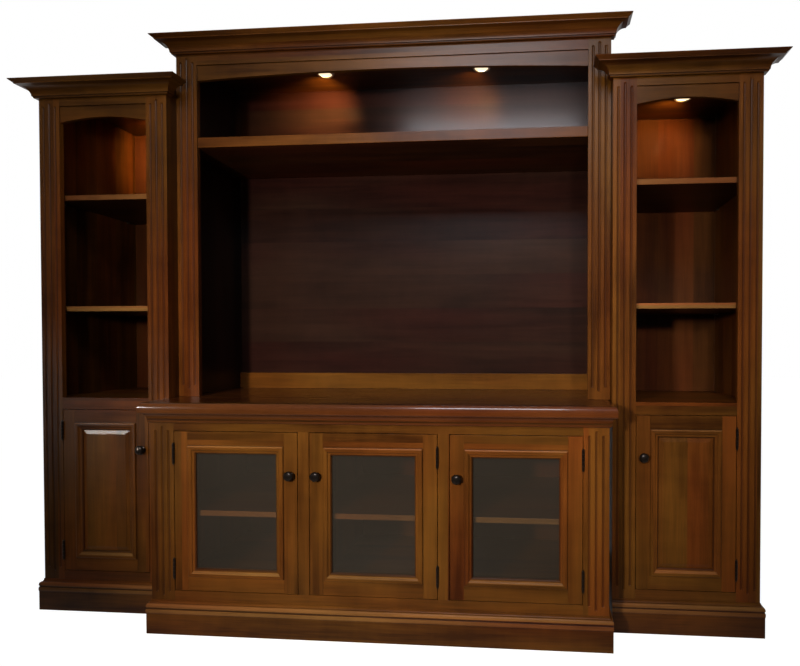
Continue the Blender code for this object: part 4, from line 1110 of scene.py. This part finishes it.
# %% [markdown]
# ## Boards that stay as they are
#
# The carcass boards are already right: sides, floors, decks, dividers and backs. Their
# meshes are left alone, as flat boards gain nothing from a new one. They only need the
# finish with the grain along their length, and the panes their glass.

# %% Finishes on the carcass boards
def finish_node(name, material):
    """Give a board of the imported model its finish."""
    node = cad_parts[name]
    node.data.materials.clear()
    node.data.materials.append(material)


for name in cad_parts:
    if name.endswith(("_outer_side", "_inner_side")) or name.startswith("console_") and (
            name.endswith(("_side", "_divider"))):
        finish_node(name, MAPLE[ALONG_Z])
    elif name.endswith(("_floor", "_deck")):
        finish_node(name, MAPLE[ALONG_X])
    elif name.endswith("_glass"):
        finish_node(name, glass)
    elif name.endswith("_tower_back"):
        finish_node(name, SHADE[ALONG_Z])
    elif name == "console_back":
        finish_node(name, SHADE[ALONG_X])
print("carcass boards have their finish")

# %% [markdown]
# ## Camera
#
# The camera stands to the right of the middle, a little higher than the counter, and is
# turned slightly to the left. The middle of its view lies to the right in the photo, as in a
# cropped picture, so the film is shifted to match. Turning the camera further instead would
# change the perspective.

# %% Camera
CAMERA_PLACE = (0.5411, -2.2392, 0.9599)
YAW, PITCH, ROLL = 0.08804, 0.01808, -0.00026
PHOTO_WIDE, PHOTO_HIGH, SENSOR = 800, 666, 36.0
FOCAL_PIXELS, CENTRE_X, CENTRE_Y = 623.09, 488.33, 352.64
camera_data = bpy.data.cameras.new("camera")
camera_data.sensor_width = SENSOR
camera_data.lens = FOCAL_PIXELS / PHOTO_WIDE * SENSOR
camera_data.shift_x = (PHOTO_WIDE / 2 - CENTRE_X) / PHOTO_WIDE
camera_data.shift_y = (CENTRE_Y - PHOTO_HIGH / 2) / PHOTO_WIDE
camera = bpy.data.objects.new("camera", camera_data)
bpy.context.scene.collection.objects.link(camera)
turn = (Matrix.Rotation(YAW, 4, "Z") @ Matrix.Rotation(math.pi / 2 - PITCH, 4, "X")
        @ Matrix.Rotation(ROLL, 4, "Z"))
camera.matrix_world = Matrix.Translation(CAMERA_PLACE) @ turn
bpy.context.scene.camera = camera
print("lens:", round(camera_data.lens, 2), "mm")

# %% [markdown]
# ## Floor and room
#
# The photo has a white ground without a shadow. The camera, and mirrored rays that look past
# the object, see white from the floor and the room alike. All other rays see a grey floor
# and a dim room, so the lacquer stays deep in tone. A white room for every ray would be
# simpler, but it would wash out the wood.

# %% Floor and room
FLOOR_REACH, FLOOR_ROUGHNESS, FLOOR_MOTTLE = 14, 0.9, 3.0
FLOOR_DARK, FLOOR_PALE, FLOOR_GLOW = (0.28, 0.28, 0.28, 1), (0.30, 0.30, 0.30, 1), 0.965
FLOOR_BEHIND, ROOM_BEHIND, AMBIENT = (-0.6, 0.4), (-0.15, 0.15), 0.13


def white_share(add, behind):
    """1 for rays that should see white: camera rays, and mirrored ones past the object."""
    path = add("ShaderNodeLightPath").outputs
    mirrored = add("ShaderNodeMath", {0: path["Is Glossy Ray"], 1: path["Is Transmission Ray"]},
                   operation="MAXIMUM").outputs[0]
    mirrored = add("ShaderNodeMath", {0: mirrored, 1: behind}, operation="MULTIPLY").outputs[0]
    return add("ShaderNodeMath", {0: path["Is Camera Ray"], 1: mirrored},
               operation="MAXIMUM").outputs[0]


def rising(add, value, low, high):
    """From 0 at low to 1 at high."""
    return add("ShaderNodeMapRange", {"Value": value, "From Min": low, "From Max": high})


floor_shape = bmesh.new()
bmesh.ops.create_grid(floor_shape, x_segments=1, y_segments=1, size=FLOOR_REACH)
floor_mesh = bpy.data.meshes.new("floor_plane")
floor_shape.to_mesh(floor_mesh)
floor_shape.free()
floor = bpy.data.objects.new("floor_plane", floor_mesh)
bpy.context.scene.collection.objects.link(floor)

floor_material = bpy.data.materials.new("pale_floor")
floor_material.use_nodes = True
add = node_maker(floor_material.node_tree)
shader = floor_material.node_tree.nodes["Principled BSDF"]
place = add("ShaderNodeTexCoord").outputs["Object"]
mottle = add("ShaderNodeTexNoise", {"Vector": place, "Scale": FLOOR_MOTTLE})
tone = add("ShaderNodeMix", {0: mottle.outputs["Fac"], 6: FLOOR_DARK, 7: FLOOR_PALE},
           data_type="RGBA")
floor_material.node_tree.links.new(tone.outputs[2], shader.inputs["Base Color"])
shader.inputs["Roughness"].default_value = FLOOR_ROUGHNESS
shader.inputs["Specular IOR Level"].default_value = 0.0
across = add("ShaderNodeSeparateXYZ", {0: place}).outputs
share = white_share(add, rising(add, across["Y"], *FLOOR_BEHIND).outputs[0])
glow = add("ShaderNodeMath", {0: share, 1: FLOOR_GLOW}, operation="MULTIPLY")
shader.inputs["Emission Color"].default_value = (1, 1, 1, 1)
floor_material.node_tree.links.new(glow.outputs[0], shader.inputs["Emission Strength"])
floor_mesh.materials.append(floor_material)

world = bpy.data.worlds.new("room")
bpy.context.scene.world = world
world.use_nodes = True
add = node_maker(world.node_tree)
backdrop = world.node_tree.nodes["Background"]
way = add("ShaderNodeTexCoord").outputs["Generated"]
across = add("ShaderNodeSeparateXYZ", {0: way}).outputs
share = white_share(add, rising(add, across["Y"], *ROOM_BEHIND).outputs[0])
strength = add("ShaderNodeMix", {0: share, 2: AMBIENT, 3: 1.0}, data_type="FLOAT")
world.node_tree.links.new(strength.outputs[0], backdrop.inputs["Strength"])
backdrop.inputs["Color"].default_value = (1, 1, 1, 1)
bpy.context.scene.view_settings.view_transform = "Standard"
print("ambient level:", AMBIENT)

# %% [markdown]
# ## Lamps
#
# The main lamp stands at the left and is aimed at the middle, so it leaves the outer edges
# dim and throws the left crown's shadow on the hutch. Two weaker spots lift the towers, and
# a soft lamp hangs high. In the photo some sheens lie where no such lamp would be mirrored,
# so the lamps that light aren't mirrored at all, and three cards are seen only as
# reflections: one, high up, gives the sheen on the frieze, a narrow one behind the valance
# gives the haze on the hutch's back, and one far to the left lights up the bevels that face
# it. A warm spot at each puck light makes the glow on the board behind it, as a lens that
# glows is too small to do it without noise.

# %% Lamps
PALE, COOL, WARM = (1.0, 0.96, 0.90), (0.86, 0.93, 1.0), (1.0, 0.62, 0.22)


def add_lamp(name, data, place, target, power, color):
    """Put a lamp at a place and aim it."""
    data.energy, data.color = power, color
    lamp = bpy.data.objects.new(name, data)
    lamp.location = place
    lamp.rotation_euler = (Vector(target) - Vector(place)).to_track_quat("-Z", "Y").to_euler()
    bpy.context.scene.collection.objects.link(lamp)
    return lamp


def add_spot(name, place, target, power, cone, blend=1.0, tall=1.0, size=0.10, color=PALE):
    """A spot that lights without being mirrored; its cone can be taller than it is wide."""
    data = bpy.data.lights.new(name, "SPOT")
    data.shadow_soft_size = size
    data.spot_size, data.spot_blend = math.radians(cone), blend
    lamp = add_lamp(name, data, place, target, power, color)
    lamp.scale = (1.0, tall, 1.0)
    lamp.visible_glossy = False


def add_panel(name, place, target, size, power, spread, color, mirrored):
    """A soft lamp that lights, or a card that is seen only as a reflection."""
    data = bpy.data.lights.new(name, "AREA")
    data.shape = "RECTANGLE"
    data.size, data.size_y = size
    data.spread = math.radians(spread)
    lamp = add_lamp(name, data, place, target, power, color)
    lamp.visible_diffuse, lamp.visible_glossy = not mirrored, mirrored


add_spot("main_lamp", (-0.55, -3.2, 1.25), (0.02, 0, 0.86), 540, cone=46, blend=0.95, tall=1.4)
add_spot("right_lamp", (0.95, -3.0, 1.45), (0.97, 0, 1.25), 170, cone=30, tall=2.2)
add_spot("left_lamp", (-0.30, -3.0, 1.30), (-1.12, 0, 1.50), 120, cone=18, tall=1.8)
add_panel("high_softbox", (0.15, -2.7, 3.40), (0.05, 0, 1.2), (1.6, 0.7), 9, spread=76,
          color=PALE, mirrored=False)
add_panel("high_card", (0.08, -2.9, 3.05), (0.1, 0, 1.8), (1.3, 0.7), 84, spread=180,
          color=COOL, mirrored=True)
add_panel("valance_card", (0.30, -0.06, 1.95), (0.30, 0.3, 1.82), (0.80, 0.09), 9, spread=180,
          color=COOL, mirrored=True)
add_panel("left_card", (-3.2, -3.1, 1.60), (-1.05, -0.16, 0.62), (0.7, 0.4), 1, spread=8,
          color=PALE, mirrored=True)

GLOW_DROP, GLOW_LEAN, GLOW_FALL, GLOW_SIZE, GLOW_CONE = 0.030, 0.08, 0.12, 0.015, 100
for name, middle, face, top, power in (
        ("hutch_left_glow", -HUTCH_PUCK_X, HUTCH_FACE, HUTCH_TOP, 20),
        ("hutch_right_glow", HUTCH_PUCK_X, HUTCH_FACE, HUTCH_TOP, 9),
        ("left_tower_glow", TOWER_PUCK_X - TOWER_MIDDLE, TOWER_FACE, TOWER_TOP, 18),
        ("right_tower_glow", TOWER_PUCK_X + TOWER_MIDDLE, TOWER_FACE, TOWER_TOP, 9)):
    add_spot(name, (middle, face + PUCK_BACK, top - BOARD - GLOW_DROP),
             (middle - GLOW_LEAN, BACK, top - GLOW_FALL), power, GLOW_CONE, size=GLOW_SIZE,
             color=WARM)
